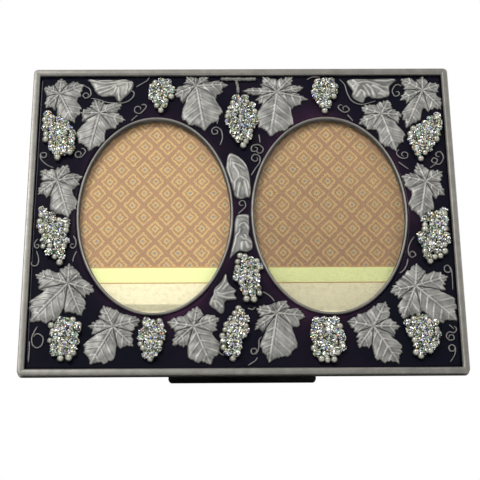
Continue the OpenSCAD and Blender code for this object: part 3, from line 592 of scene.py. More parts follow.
def roundedLoop(halfX, halfY, radius, outerX, outerY):
    # Points round a rectangle with round corners. The sides are divided by the outer rectangle's
    # length, so that rings of different insets line up.
    out = []
    quarter = np.linspace(0, np.pi / 2, railShape["cornerSteps"] + 1)
    corners = ((1, 1), (-1, 1), (-1, -1), (1, -1))
    for k, (signX, signY) in enumerate(corners):
        centre = (signX * (halfX - radius), signY * (halfY - radius))
        turn = quarter + k * np.pi / 2
        out.append(np.stack([centre[0] + radius * np.cos(turn),
                             centre[1] + radius * np.sin(turn)], -1))
        count = max(int(2 * (outerY if k % 2 else outerX) / railShape["sideStep"]), 2)
        nextX, nextY = corners[(k + 1) % 4]
        angle = (k + 1) * np.pi / 2
        start = out[-1][-1]
        end = np.array([nextX * (halfX - radius) + radius * np.cos(angle),
                        nextY * (halfY - radius) + radius * np.sin(angle)])
        share = np.linspace(0, 1, count + 1)[1:-1, None]
        out.append(start + (end - start) * share)
    return np.concatenate(out)


def sweepRectangle(name, profile, outer, radius, material, replaced=(), centre=(0.0, 0.0),
                   sway=0.0):
    # A closed profile of (inset, height, darkness) carried round a rectangle with round corners
    table = np.array(profile)
    rings = []
    for inset, h in table[:, :2]:
        corner = max(radius - inset, railShape["innerCorner"])
        loop = roundedLoop(outer[0] - inset, outer[1] - inset, corner, *outer)
        rings.append(atHeight(loop + np.array(centre), h))
    rows, count = len(rings), len(rings[0])
    points = np.concatenate(rings)
    points[:, 2] += sway * waves(points, 5, railShape["swayLength"]) * (points[:, 2] > -1.0)
    steps = np.linalg.norm(np.diff(rings[0][:, :2], axis=0, append=rings[0][:1, :2]), axis=1)
    around = np.concatenate([[0], np.cumsum(steps)[:-1]])
    widths = np.linalg.norm(np.diff(table[:, :2], axis=0), axis=1)
    across = np.concatenate([[0], np.cumsum(widths)])
    makePiece(name, points, [ringFaces(rows, count)], material, replaced,
              values={"age": np.repeat(table[:, 2], count)}, uv=layOut(around, across) * mm)


edge = railShape["edgeRound"]
inner, bevel = face["railWidth"], face["bevel"]
railProfile = (
    [(0.25, backH, 0.3), (0.0, backH + 0.25, 0.05), (0.0, rise - 1.6, 0.0)]
    + [(edge * (1 - math.cos(a)), rise - edge * (1 - math.sin(a)), 0.0)
       for a in np.radians([0, 22.5, 45, 67.5, 90])]
    + [(1.6, rise + 0.03, 0.12), (inner - bevel - 0.15, rise, 0.05),
       (inner - bevel + 0.08, rise - 0.08, 0.0), (inner - 0.12, rise - bevel + 0.02, 0.0),
       (inner, rise - bevel - 0.12, 0.25), (inner, 0.25, 0.85), (inner, floorH, 1.0),
       (inner, backH, 1.0)]
)
sweepRectangle("castRail", railProfile, (halfW, halfH), face["cornerRadius"], railPewter,
               ["front_casting"], sway=railShape["sway"])

plateShape = {"rings": 22, "count": 288}


def plateWithOval(side, outer, top, bottom, grow):
    # Half of a plate, from its middle line to one end, with an oval hole: each ring lies at an
    # equal share of the way from the oval to the plate's edge, along rays from the window's middle
    rings, count = plateShape["rings"], plateShape["count"]
    angle = np.linspace(0, 2 * np.pi, count, endpoint=False)
    middle = np.array([side * face["windowX"], face["windowLift"]])
    ray = np.stack([(face["windowA"] + grow) * np.cos(angle),
                    (face["windowB"] + grow) * np.sin(angle)], -1)
    hole = middle + ray
    lowX, highX = (0.0, outer[0]) if side > 0 else (-outer[0], 0.0)
    rayAngle = np.arctan2(ray[:, 1], ray[:, 0])
    for cornerX in (lowX, highX):
        for cornerY in (-outer[1], outer[1]):
            # The ray nearest to each corner goes to the corner
            corner = math.atan2(cornerY - middle[1], cornerX - middle[0])
            nearest = np.argmin(np.abs((rayAngle - corner + np.pi) % (2 * np.pi) - np.pi))
            rayAngle[nearest] = corner
    way = np.stack([np.cos(rayAngle), np.sin(rayAngle)], -1)
    with np.errstate(divide="ignore"):
        reachX = np.where(way[:, 0] > 0, highX - middle[0], lowX - middle[0]) / way[:, 0]
        reachY = np.where(way[:, 1] > 0, outer[1] - middle[1], -outer[1] - middle[1]) / way[:, 1]
    border = middle + way * np.minimum(np.abs(reachX), np.abs(reachY))[:, None]
    share = np.linspace(0, 1, rings)[:, None, None]
    flat = (hole + (border - hole) * share).reshape(-1, 2)
    points = np.concatenate([atHeight(flat, top), atHeight(flat, bottom)])
    faces = gridFaces(rings, count)
    here, after = loopPairs(count)
    under, last = len(flat), (rings - 1) * count
    holeWall = np.stack([here, after, under + after, under + here], -1)[:, ::-1]
    outerWall = np.stack([last + after, last + here, under + last + here, under + last + after], -1)
    return points, [faces, faces[:, ::-1] + under, holeWall, outerWall[:, ::-1]]


def joinHalves(outer, top, bottom, grow):
    # Both halves welded along the middle line, and which faces are shaded smooth: all but walls
    left, leftFaces = plateWithOval(-1, outer, top, bottom, grow)
    right, rightFaces = plateWithOval(1, outer, top, bottom, grow)
    points = np.concatenate([left, right])
    faces = np.concatenate(leftFaces + [f + len(left) for f in rightFaces])
    flags = np.tile(np.concatenate([np.full(len(f), k < 2) for k, f in enumerate(leftFaces)]), 2)
    seam = np.abs(points[faces][:, :, 0]).max(1) < 1e-6
    kept, place = np.unique(np.round(points, 4), axis=0, return_inverse=True)
    return kept, [place.reshape(-1)[faces[~seam]]], flags[~seam]


points, faces, _ = joinHalves(innerSize, floorH - 0.01, backH, 0.0)
makePiece("castFloor", points, faces, plainPewter, smooth=False,
          values={"age": np.full(len(points), 0.35)})


# Enamel, drawn up a little at rail and rims, with its purple cast near the ovals and in clouds

enamelShape = {
    "meniscus": 0.16,
    "meniscusWidth": 0.8,
    "ovalReach": 48.0,      # turns the share past the oval into millimetres
    "purple": 0.8,
    "purpleReach": 5.0,
    "purpleAll": 0.12,
    "clouds": 17.0,
}
points, faces, flags = joinHalves(innerSize, 0.0, floorH, face["bezelWidth"])
x, y, h = points.T
outX = (np.abs(x) - face["windowX"]) / (face["windowA"] + face["bezelWidth"])
outY = (y - face["windowLift"]) / (face["windowB"] + face["bezelWidth"])
fromOval = (np.hypot(outX, outY) - 1) * enamelShape["ovalReach"]
fromRail = np.minimum(innerSize[0] - np.abs(x), innerSize[1] - np.abs(y))
fromWall = np.clip(np.minimum(fromOval, fromRail), 0, None)
drawnUp = enamelShape["meniscus"] * np.exp(-fromWall / enamelShape["meniscusWidth"])
purple = np.exp(-np.clip(fromOval, 0, None) / enamelShape["purpleReach"])
purple = enamelShape["purple"] * purple + enamelShape["purpleAll"]
purple *= 0.65 + 0.5 * waves(points, 11, enamelShape["clouds"])
points[:, 2] += np.where(h > -0.1, drawnUp, 0)
makePiece("enamelFill", points, faces, enamel, ["enamel_fill"], smooth=flags,
          values={"purple": np.clip(purple, 0, 1)})


# Rims of the ovals

bezelShape = {
    "count": 256,
    "length": 320.0,        # round the rim, for the streaks
    "rowStep": 0.5,         # across it
    "sway": (0.05, 6.0),    # size and length
    "mottle": (0.18, 4.0),
    "profile": [            # distance out from the window's edge, height, darkness
        (2.0, -0.35, 1.0), (2.0, 0.12, 1.0), (1.92, 0.75, 0.55), (1.72, 1.25, 0.05),
        (1.42, 1.53, 0.0), (1.1, 1.6, 0.0), (0.8, 1.5, 0.1), (0.55, 1.2, 0.6), (0.3, 0.75, 0.9),
        (0.08, 0.3, 1.0), (0.0, -0.1, 1.0), (0.0, -1.95, 1.0)],
}


def makeBezel(side, name):
    # The profile carried round an oval that grows with it
    size = bezelShape
    angle = np.linspace(0, 2 * np.pi, size["count"], endpoint=False)
    grow, h, dark = np.array(size["profile"]).T
    x = side * face["windowX"] + (face["windowA"] + grow[:, None]) * np.cos(angle)
    y = face["windowLift"] + (face["windowB"] + grow[:, None]) * np.sin(angle)
    points = np.stack(np.broadcast_arrays(x, y, h[:, None]), -1).reshape(-1, 3)
    sway, swayLength = size["sway"]
    mottle, mottleLength = size["mottle"]
    points[:, 2] += sway * waves(points, 21, swayLength) * (points[:, 2] > 0.4)
    age = np.repeat(dark, size["count"]) + mottle * waves(points, 23, mottleLength)
    uv = layOut(angle / (2 * np.pi) * size["length"], np.arange(len(h)) * size["rowStep"]) * mm
    makePiece(name, points, [ringFaces(len(h), size["count"])], railPewter,
              values={"age": np.clip(age, 0, 1)}, uv=uv)


makeBezel(-1, "bezelLeft")
makeBezel(1, "bezelRight")

backShape = {
    "wallInset": 3.5,       # of the wall from the face's edge
    "wall": 5.0,
    "ribHalf": (46.15, 65.15),
    "rib": 1.6,
    "ribDepth": 3.0,
    "corner": 0.4,
}
wall, wallBack = backShape["wall"], rise - face["backDepth"]
wallProfile = [(wall, backH, 0.6), (wall, wallBack + 0.5, 0.3), (wall - 0.15, wallBack + 0.15, 0.1),
               (wall - 0.5, wallBack, 0.15), (0.5, wallBack, 0.15), (0.15, wallBack + 0.15, 0.1),
               (0.0, wallBack + 0.5, 0.2), (0.0, backH, 0.6)]
wallOuter = (halfW - backShape["wallInset"], halfH - backShape["wallInset"])
sweepRectangle("castBackWall", wallProfile, wallOuter, backShape["corner"], plainPewter)
rib, ribBack = backShape["rib"], backH - backShape["ribDepth"]
ribProfile = [(rib, backH, 0.4), (rib, ribBack, 0.4), (0.0, ribBack, 0.4), (0.0, backH, 0.4)]
for side, name in ((-1, "castRibsLeft"), (1, "castRibsRight")):
    sweepRectangle(name, ribProfile, backShape["ribHalf"], backShape["corner"], plainPewter,
                   centre=(side * face["windowX"], face["windowLift"]))
print("casting made")


# Leaves. Their outlines, tips and hearts are read from the CAD leaves.

leafShape = {
    "rings": 60,
    "edgeSteps": 5,
    "rim": 0.45,
    "body": 1.0,
    "bodyReach": 0.55,
    "dome": 0.55,
    "domeReach": 3.0,
    "vein": (0.36, 0.42),       # height and half width of the main veins
    "sideVein": (0.30, 0.46),
    "spacing": 4.9,             # from one side vein to the next
    "slant": 0.95,              # run of a side vein toward the tip for each step outward
    "crease": (0.60, 0.55),
    "hollow": (0.16, 0.4),      # beside the main veins
    "hollowAt": 0.95,
    "heartDip": (0.55, 0.9),
    "swell": (0.14, 2.6),       # height and length of the uneven swell
    "tooth": (2.9, 0.75),       # length and depth of the teeth round the edge
    "point": 0.09,
    "broad": 1.9,               # how much the lobes are broadened between notch and tip
    "lobeReach": 14,            # edge points from a notch to a tip
    "lobeBlur": 8,
    "flank": (0.27, 0.07),      # angles over which a tip's flanks are drawn in, and its point
    "clear": 0.3,               # between a leaf and the rail
    "darkest": 0.92,
}


def leafPlan(name):
    # The edge is what lies on the enamel, the heart is the highest point, and the lobes' tips are
    # the edge points whose rim is raised by a vein
    points = nodePoints(name)
    heart = points[np.argmax(points[:, 2]), :2]
    low = points[np.abs(points[:, 2]) < 0.02][:, :2]
    low = low[np.linalg.norm(low - heart, axis=1) > 0.2]
    edge = low[np.argsort(np.arctan2(low[:, 1] - heart[1], low[:, 0] - heart[0]))]
    raised = points[(points[:, 2] > 0.85) & (points[:, 2] < 1.15)][:, :2]
    tips = np.zeros(len(edge), bool)
    if len(raised):
        tips = np.array([np.linalg.norm(raised - p, axis=1).min() < 0.02 for p in edge])
    if tips.sum() < 3:
        reach = np.linalg.norm(edge - heart, axis=1)
        tips = (reach >= np.roll(reach, 1)) & (reach >= np.roll(reach, -1))
        tips &= reach > 0.5 * reach.max()
    return heart, edge, edge[tips]


def rolling(values, pick, reach):
    # The mean, least or most of the values up to `reach` places to both sides
    return pick([np.roll(values, k) for k in range(-reach, reach + 1)], axis=0)


def leafEdge(rough, heart, tips, seed):
    # The outline with fuller lobes and with teeth cut into it, each steep on one side
    size = leafShape
    edge = smoothClosed(rough, size["edgeSteps"])
    step = np.linalg.norm(np.diff(edge, axis=0, append=edge[:1]), axis=1)
    around = np.concatenate([[0], np.cumsum(step)[:-1]])
    length, depth = size["tooth"]
    phase = around / step.sum() * round(step.sum() / length) + 0.12 * np.sin(around * 0.9 + seed)
    phase %= 1
    tooth = np.where(phase < 0.35, phase / 0.35, (1 - phase) / 0.65)
    reach = edge - heart
    far = np.linalg.norm(reach, axis=1)
    wide, deep = (rolling(rolling(far, pick, size["lobeReach"]), np.mean, size["lobeBlur"])
                  for pick in (np.max, np.min))
    part = np.clip((far - deep) / np.maximum(wide - deep, 0.01), 0, 1)
    broader = part + size["broad"] * part * (1 - part) ** 2
    fuller = np.maximum(far, deep + (wide - deep) * broader)
    uneven = 1 + 0.3 * np.sin(around * 0.37 + seed)
    fuller += depth * np.clip(far / 8, 0.3, 1) * (tooth - 0.62) * uneven
    turn = np.arctan2(reach[:, 1], reach[:, 0])
    outside, inside = size["flank"]
    for tip in tips:
        # The flanks of each tip are drawn in, so that it ends in a point
        aside = (turn - math.atan2(*(tip - heart)[::-1]) + np.pi) % (2 * np.pi) - np.pi
        aside = np.abs(aside)
        share = (np.linalg.norm(tip - heart) / far.max()) ** 2
        fuller *= 1 - size["point"] * share * (hill(aside, outside) - hill(aside, inside))
    room = np.array(innerSize) - size["clear"]
    return np.clip(heart + reach * (fuller / far)[:, None], -room, room)


def leafGrid(heart, edge):
    # Rings from the heart out to the edge, closer near it, and each point's way to the edge
    share = np.linspace(0, 1, leafShape["rings"] + 1)[1:] ** 0.85
    flat = (heart + share[:, None, None] * (edge - heart)[None]).reshape(-1, 2)
    return flat, segmentDistance(flat, edge, np.roll(edge, -1, axis=0))


def padded(size, flat, toEdge, seed):
    # Rises from its rim steeply, then slowly, with an uneven swell away from the edge
    height = size["rim"] + size["body"] * levelOff(toEdge, size["bodyReach"])
    height += size["dome"] * levelOff(toEdge, leafShape["domeReach"])
    tall, long = size["swell"]
    return height + tall * waves(flat, seed, long) * np.clip(toEdge / 2, 0, 1)


def castLeaf(name, heart, edge, flat, height, rub, age, heartTone):
    # The top over a foot on the enamel, each closed by a fan at the heart
    count, rings = len(edge), leafShape["rings"]
    zero = np.zeros(count)
    points = np.concatenate([np.column_stack([flat, height]), atHeight(edge, 0.0),
                             [[*heart, height[0]]], [[*heart, 0.0]]])
    faces = [gridFaces(rings + 1, count)[:, ::-1], fanFaces(0, count, len(points) - 2),
             fanFaces(rings * count, count, len(points) - 1, flip=True)]
    age = np.clip(age, 0, leafShape["darkest"])
    values = {"age": np.concatenate([age, zero + 1, [heartTone[1], 1.0]]),
              "rub": np.concatenate([np.clip(rub, 0, 1), zero, [heartTone[0], 0.0]])}
    makePiece(pieceName("leaf", name), points, faces, leafPewter, [name],
              values=values)


def makeLeaf(name, seed):
    # A main vein runs from the heart to each tip. Each place on the leaf belongs to the vein it is
    # nearest to, side veins leave that vein on both sides, and creases part the lobes. The height
    # is the padded shape with the veins, less creases, hollows beside veins and the heart's dip.
    size = leafShape
    heart, rough, tips = leafPlan(name)
    edge = leafEdge(rough, heart, tips, seed)
    flat, toEdge = leafGrid(heart, edge)
    way = tips - heart
    length = np.linalg.norm(way, axis=1)
    unit = way / length[:, None]
    rel = flat - heart
    fromHeart = np.linalg.norm(rel, axis=1)
    along = rel @ unit.T
    off = np.abs(rel[:, :1] * unit[None, :, 1] - rel[:, 1:] * unit[None, :, 0])
    gap = np.where(along > 0, off, fromHeart[:, None]) / (length / length.max())[None] ** 0.5
    order = np.argsort(gap, axis=1)
    rows = np.arange(len(flat))
    own, other = order[:, 0], order[:, 1]
    border = gap[rows, other] - gap[rows, own]
    run, aside = along[rows, own] + 0.6 * waves(flat, seed, 3.0), off[rows, own]
    phase = (run - size["slant"] * aside**0.9) / size["spacing"] + 0.3
    toSide = np.abs(phase - np.round(phase)) * size["spacing"]
    spread = np.clip((fromHeart - 1.2) / 1.5, 0, 1)     # nothing but main veins at the heart
    sideLine = hill(toSide, size["sideVein"][1]) * spread * np.clip(toEdge / 0.5, 0, 1)
    sideLine *= 1 - hill(border, 0.8)
    mainLine = hill(aside, size["vein"][1]) * np.clip(1.25 - run / length[own], 0.3, 1)
    crease = hill(border, size["crease"][1]) * np.clip((fromHeart - 0.6) / 2.0, 0, 1)
    besideVein = np.abs(aside - size["hollowAt"])
    height = padded(size, flat, toEdge, seed)
    height += size["vein"][0] * mainLine * np.clip(toEdge, 0, 1) + size["sideVein"][0] * sideLine
    height -= size["crease"][0] * crease
    height -= size["hollow"][0] * hill(besideVein, size["hollow"][1]) * spread
    height -= size["heartDip"][0] * hill(fromHeart, size["heartDip"][1])
    patches = waves(flat, seed + 50, 1.3)
    rub = 0.95 * mainLine + (0.62 + 0.3 * patches) * sideLine + 0.3 * hill(toEdge - 0.55, 0.35)
    rub += 0.2 * patches + 0.10 * np.cos(2 * np.pi * phase * 4) * (1 - sideLine) * spread
    age = 0.85 * crease + 0.75 * hill(toEdge, 0.28) + 0.42 * hill(besideVein, 0.38) * spread
    age += 0.32 * hill(np.abs(toSide - 0.9), 0.4) * spread + 0.7 * hill(fromHeart, 0.8)
    age -= 0.12 * patches
    age *= 1 - 0.9 * np.maximum(mainLine * spread, sideLine)
    castLeaf(name, heart, edge, flat, np.clip(height, 0.3, None), rub, age, (0.0, 0.7))


# Folded leaves: ridges along listed points, from the face's middle

foldedShape = {"ridge": (0.62, 0.55), "rim": 0.5, "body": 0.9, "bodyReach": 0.5, "dome": 0.5,
               "swell": (0.16, 2.2)}
foldedRidges = {
    "leaf_top_left_folded": [
        [(-62.8, 87), (-66, 86), (-70, 86.8), (-75, 86.2), (-80, 86), (-87.6, 88.4)],
        [(-67, 86), (-71.5, 85), (-76, 83.8), (-81, 82.6), (-84.6, 81.4)],
        [(-72.5, 84), (-75, 82.2), (-79, 80.6), (-83.6, 78.8)],
        [(-72, 83.5), (-73.2, 80), (-75, 78.4)], [(-70.8, 83), (-70.8, 79), (-70.2, 75)],
        [(-66, 86.5), (-65.8, 83), (-66.4, 79)], [(-64.2, 86.6), (-63.4, 84), (-64.4, 81.4)],
        [(-66.5, 88.2), (-71, 88)], [(-75, 88), (-82, 87.6)]],
    "leaf_top_right_folded": [
        [(64.4, 81.8), (65.4, 83.8), (68, 85.4), (72, 86.4), (77, 85.4), (82, 83), (85.4, 82.2)],
        [(68.2, 84), (66.4, 81), (65, 78)], [(69, 80.2), (67, 76.6)],
        [(69.4, 80.8), (71.2, 79), (71.6, 76.6)], [(71, 83.4), (73.4, 79.6), (74, 77)],
        [(73, 84.4), (75.8, 81), (77, 76.6)], [(76.5, 84), (79.6, 82), (82.5, 79.6), (85, 78.4)],
        [(65, 88), (66.8, 85.8)], [(73, 88.4), (72.4, 87)], [(78, 87.4), (84, 87), (88.6, 88)],
        [(80, 78.6), (83, 77.4)]],
    "leaf_centre_upper": [
        [(-8.4, 36), (-7, 38), (-4, 37.6), (-1.4, 36), (1.2, 33.4), (3, 30.2)],
        [(-7.8, 33.4), (-5, 33), (-1.6, 31.6), (1.6, 29.2)], [(-4.5, 31), (-2.2, 27), (-1.6, 23.4)],
        [(-0.6, 24.2), (1.2, 22.8), (3.4, 20.6), (4.2, 17)], [(-2.2, 23.6), (-4, 20.4), (-4.2, 16)],
        [(-1, 20), (-2, 16), (-2.4, 11.8)], [(1.4, 21), (2.6, 16.4), (3, 12)],
        [(-8.2, 31), (-7.2, 26), (-5.6, 21)]],
    "leaf_centre_middle": [
        [(-2, -0.8), (1, -0.4), (3.2, -1.4)], [(-1.8, -7), (-0.6, -5.6), (1, -5)],
        [(1.2, -5), (2.8, -7), (3.6, -8.6)], [(-1.4, -9), (-2, -11.6), (-3.6, -13)],
        [(-0.6, -13.6), (0.6, -15), (2.8, -15.4), (4.8, -17)], [(1.4, -12.6), (2.2, -14)],
        [(-3.6, -14), (-4.4, -18), (-5.8, -22.6)], [(0, -17), (-0.4, -21.6)],
        [(2, -17), (3.2, -20.4)]],
    "leaf_centre_lower": [
        [(-9.2, -37), (-9.8, -40), (-12, -44), (-14, -46)],
        [(-4.4, -46.6), (-7, -47.2), (-11, -48.4), (-14, -47.6)],
        [(-13.4, -49), (-9, -50.4), (-4.4, -50.6)], [(-15.2, -46), (-16.6, -50.8), (-17.4, -54)],
        [(-14.6, -52.6), (-12.6, -54), (-11.2, -55.8)], [(-15.6, -52.5), (-14.5, -56)],
        [(-8, -42), (-10.6, -45.4)]],
}


def makeFolded(name, seed):
    # A padded shape that falls off at its edge, with a bell-shaped ridge along each path
    size = foldedShape
    heart, rough, _ = leafPlan(name)
    edge = smoothClosed(rough, leafShape["edgeSteps"])
    flat, toEdge = leafGrid(heart, edge)
    paths = [smoothOpen(ridge, 6) for ridge in foldedRidges[name]]
    toRidge = segmentDistance(flat, np.concatenate([p[:-1] for p in paths]),
                              np.concatenate([p[1:] for p in paths]))
    toRidge = toRidge + 0.12 * waves(flat, seed, 0.9)
    line = hill(toRidge, size["ridge"][1]) * np.clip(toEdge / 0.5, 0, 1)
    height = padded(size, flat, toEdge, seed) + size["ridge"][0] * line
    patches = waves(flat, seed + 50, 1.3)
    rub = 0.9 * line + 0.25 * hill(toEdge - 0.55, 0.35) + 0.16 * patches
    age = 0.75 * hill(toEdge, 0.28) + 0.5 * hill(np.abs(toRidge - 1.15), 0.45) - 0.12 * patches
    age *= 1 - 0.9 * line
    castLeaf(name, heart, edge, flat, height, rub, age, (rub[0], age[0]))


leafNames = sorted(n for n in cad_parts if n.startswith("leaf_"))
for seed, name in enumerate(leafNames, 1):
    if name in foldedRidges:
        makeFolded(name, seed)
    else:
        makeLeaf(name, seed)
print("leaves made", len(leafNames))


# Grapes: pewter balls where the CAD cluster has its grapes, most of them under cut stones

grapeShape = {
    "ballRadius": 1.95,
    "ballShare": (0.84, 1.04),
    "ballRings": 10,
    "ballSides": 16,
    "spread": (0.38, 0.30),     # how far the balls stray across and up
    "stoneGap": 0.57,           # from one stone to the next
    "stoneRadius": (0.33, 0.55),
    "moundRadius": 2.38,
    "jitter": 0.26,             # rise and fall of the stones
    "lean": 0.42,               # how far the stones lean about
    "edgeReach": 4.6,           # a ball with few neighbours this near is on a cluster's edge
    "edgeCount": 4,
    "bareShare": 0.42,          # of the balls on a cluster's edge
    "topFrom": 2.6,             # least height of a grape's top, and least distance between two
    "topGap": 1.7,
    "border": 2.6,              # of the grid of stones round the balls' middles
    "stray": 0.42,              # of the stones off the grid, as a share of its gap
    "sink": 0.25,               # of the mound below the balls' own domes
    "table": 0.55,              # width of a stone's flat top beside its girdle
    "crown": 0.42,
    "point": 0.7,
}
# Stone colours, and near-black ones that are painted shade: they stand where the gaps between the
# stones fall dark
stoneAndGapShadeColours = np.array([
    (0.97, 0.97, 0.95), (0.80, 0.82, 0.78), (0.52, 0.53, 0.47), (0.24, 0.24, 0.19),
    (0.025, 0.025, 0.022), (0.60, 0.58, 0.30), (0.36, 0.33, 0.12), (0.22, 0.52, 0.24),
    (0.30, 0.60, 0.62), (0.28, 0.24, 0.82), (0.88, 0.36, 0.14)])
stoneShares = np.array([0.25, 0.10, 0.08, 0.13, 0.21, 0.08, 0.08, 0.055, 0.035, 0.035, 0.02])


def grapeTops(name):
    # The top of each CAD grape: the highest point left, once all near an earlier top are out
    points = nodePoints(name)
    high = points[points[:, 2] > grapeShape["topFrom"]]
    tops = []
    while len(high):
        top = high[np.argmax(high[:, 2])]
        tops.append(top)
        high = high[np.linalg.norm(high[:, :2] - top[:2], axis=1) > grapeShape["topGap"]]
    return np.array(tops)


def ballMesh(rings, sides):
    # A ball of radius 1 from rings of latitude, its poles closed by fans
    lat = np.linspace(0, np.pi, rings + 1)[1:-1, None]
    lon = np.linspace(0, 2 * np.pi, sides, endpoint=False)
    ring = np.stack([np.sin(lat) * np.cos(lon), np.sin(lat) * np.sin(lon),
                     np.cos(lat) + 0 * lon], -1).reshape(-1, 3)
    points = np.concatenate([ring, [[0, 0, 1.0]], [[0, 0, -1.0]]])
    caps = [fanFaces(0, sides, len(points) - 2),
            fanFaces((rings - 2) * sides, sides, len(points) - 1, True)]
    return points, gridFaces(rings - 1, sides), np.concatenate(caps)


def stoneMesh():
    # A cut stone: six sided table, girdle and point
    turn = np.arange(6) * np.pi / 3
    wide, crown = grapeShape["table"], grapeShape["crown"]
    table = np.stack([wide * np.cos(turn), wide * np.sin(turn), np.full(6, crown)], -1)
    girdle = np.stack([np.cos(turn + np.pi / 6), np.sin(turn + np.pi / 6), np.zeros(6)], -1)
    points = np.concatenate([table, girdle, [[0, 0, crown]], [[0, 0, -grapeShape["point"]]]])
    here, after = loopPairs(6)
    sides = [np.stack([here, 6 + here, after], -1), np.stack([after, 6 + here, 6 + after], -1)]
    return points, np.concatenate([fanFaces(0, 6, 12), *sides, fanFaces(6, 6, 13, flip=True)])


def turnsTo(normals, spin):
    # One rotation a stone: its own Z on the normal, then spun about it
    helper = np.where(np.abs(normals[:, 2:3]) < 0.9, [[0.0, 0.0, 1.0]], [[1.0, 0.0, 0.0]])
    x = np.cross(helper, normals)
    x /= np.linalg.norm(x, axis=1, keepdims=True)
    y = np.cross(normals, x)
    c, s = np.cos(spin)[:, None], np.sin(spin)[:, None]
    return np.stack([c * x + s * y, -s * x + c * y, normals], -1)


def strayBalls(name, dice):
    # A little way off the CAD grapes' places; some at the cluster's edge, and the lowest, are bare
    tops = grapeTops(name)
    radius, (across, up) = grapeShape["ballRadius"], grapeShape["spread"]
    centres = tops - np.array([0, 0, radius - 0.05])
    centres[:, :2] += dice.normal(0, across, (len(tops), 2))
    centres[:, 2] += dice.normal(0, up, len(tops))
    size = radius * dice.uniform(*grapeShape["ballShare"], len(tops))
    apart = np.linalg.norm(centres[:, None, :2] - centres[None, :, :2], axis=-1)
    lonely = (apart < grapeShape["edgeReach"]).sum(1) - 1 <= grapeShape["edgeCount"]
    bare = lonely & (dice.uniform(0, 1, len(tops)) < grapeShape["bareShare"])
    bare |= centres[:, 1] < centres[:, 1].min() + 0.1
    return centres, size, bare


def stonePlaces(centres, size, bare, dice):
    # A jittered grid of stones on the mound that half balls over the jewelled grapes make
    # together, and which way each stone faces
    held, wide, gap = centres[~bare], grapeShape["moundRadius"], grapeShape["stoneGap"]
    border, stray = grapeShape["border"], grapeShape["stray"]
    low, high = held[:, :2].min(0) - border, held[:, :2].max(0) + border
    grid = np.meshgrid(np.arange(low[0], high[0], gap), np.arange(low[1], high[1], gap))
    spots = np.stack([grid[0].ravel(), grid[1].ravel()], -1)
    spots += dice.uniform(-stray, stray, spots.shape) * gap
    off = np.linalg.norm(spots[:, None] - held[None, :, :2], axis=-1)
    domes = np.sqrt(np.clip(wide**2 - off**2, 0, None))
    domes = held[None, :, 2] - grapeShape["sink"] + domes
    owner = np.argmax(np.where(off < wide, domes, -9.0), axis=1)
    top = domes[np.arange(len(spots)), owner]
    keep = off.min(1) < wide * 0.96
    spots, owner, top = spots[keep], owner[keep], top[keep]
    top = np.clip(top + dice.normal(0, grapeShape["jitter"], len(spots)), 0.35, None)
    places = np.column_stack([spots, top])
    if bare.any():
        fromBare = np.linalg.norm(places[:, None] - centres[bare][None], axis=-1)
        clear = (fromBare > size[bare][None] - 0.1).all(1)
        places, owner = places[clear], owner[clear]
    tilt = (places - held[owner]) / wide * 0.7 + np.array([0, 0, 0.35])
    tilt += dice.normal(0, grapeShape["lean"], (len(places), 3))
    tilt[:, 2] = np.abs(tilt[:, 2])
    return places, tilt / np.linalg.norm(tilt, axis=1, keepdims=True)


def copies(faces, start, count, each):
    # The same faces for each of `count` copies of `each` points
    shifts = start + np.arange(count) * each
    return (faces[None] + shifts[:, None, None]).reshape(-1, faces.shape[1])


def makeGrapes(name, seed):
    # Balls flattened on the enamel, and stones crowded over one uneven mound
    dice = np.random.default_rng(400 + seed)
    centres, size, bare = strayBalls(name, dice)
    places, tilt = stonePlaces(centres, size, bare, dice)
    balls, total = len(centres), len(places)
    ball, ballQuads, ballCaps = ballMesh(grapeShape["ballRings"], grapeShape["ballSides"])
    ballPoints = centres[:, None] + ball[None] * size[:, None, None]
    ballPoints[..., 2] = np.maximum(ballPoints[..., 2], 0.02)
    stoneSize = dice.uniform(*grapeShape["stoneRadius"], total)
    rotation = turnsTo(tilt, dice.uniform(0, 2 * np.pi, total))
    stone, stoneFaces = stoneMesh()
    turned = np.einsum("nij,pj->npi", rotation, stone)
    stonePoints = places[:, None] + turned * stoneSize[:, None, None]
    colours = stoneAndGapShadeColours[dice.choice(len(stoneAndGapShadeColours), total, p=stoneShares / stoneShares.sum())]
    colours = np.clip(colours * dice.uniform(0.75, 1.05, (total, 1)), 0, 1)
    start = balls * len(ball)
    quads = copies(ballQuads, 0, balls, len(ball))[:, ::-1]
    caps = copies(ballCaps, 0, balls, len(ball))
    gems = copies(stoneFaces, start, total, len(stone))
    points = np.concatenate([ballPoints.reshape(-1, 3), stonePoints.reshape(-1, 3)])
    height = np.clip((ballPoints[..., 2] - centres[:, None, 2]) / size[:, None], -1, 1)
    age = np.clip(0.9 - 1.15 * (height + 0.25), 0.05, 0.95)
    # The balls under the stones are kept at least this dark: painted shade in the gaps between the
    # stones
    age = np.where(bare[:, None], age, np.maximum(age, 0.62))
    values = {"age": np.concatenate([age.ravel(), np.zeros(len(points) - start)]),
              "stone": np.concatenate([np.full((start, 3), 0.3),
                                       np.repeat(colours, len(stone), axis=0)])}
    isGem = np.repeat([False, True], [len(quads) + len(caps), len(gems)])
    makePiece(pieceName("grapes", name), points, [quads, caps, gems], [ballPewter, stones],
              [name], smooth=~isGem, values=values, materialIndex=isGem)
    return balls, total


grapeNames = sorted(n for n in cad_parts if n.startswith("grapes_"))
made = np.array([makeGrapes(name, seed) for seed, name in enumerate(grapeNames)])
print("grapes and stones made", made.sum(0))
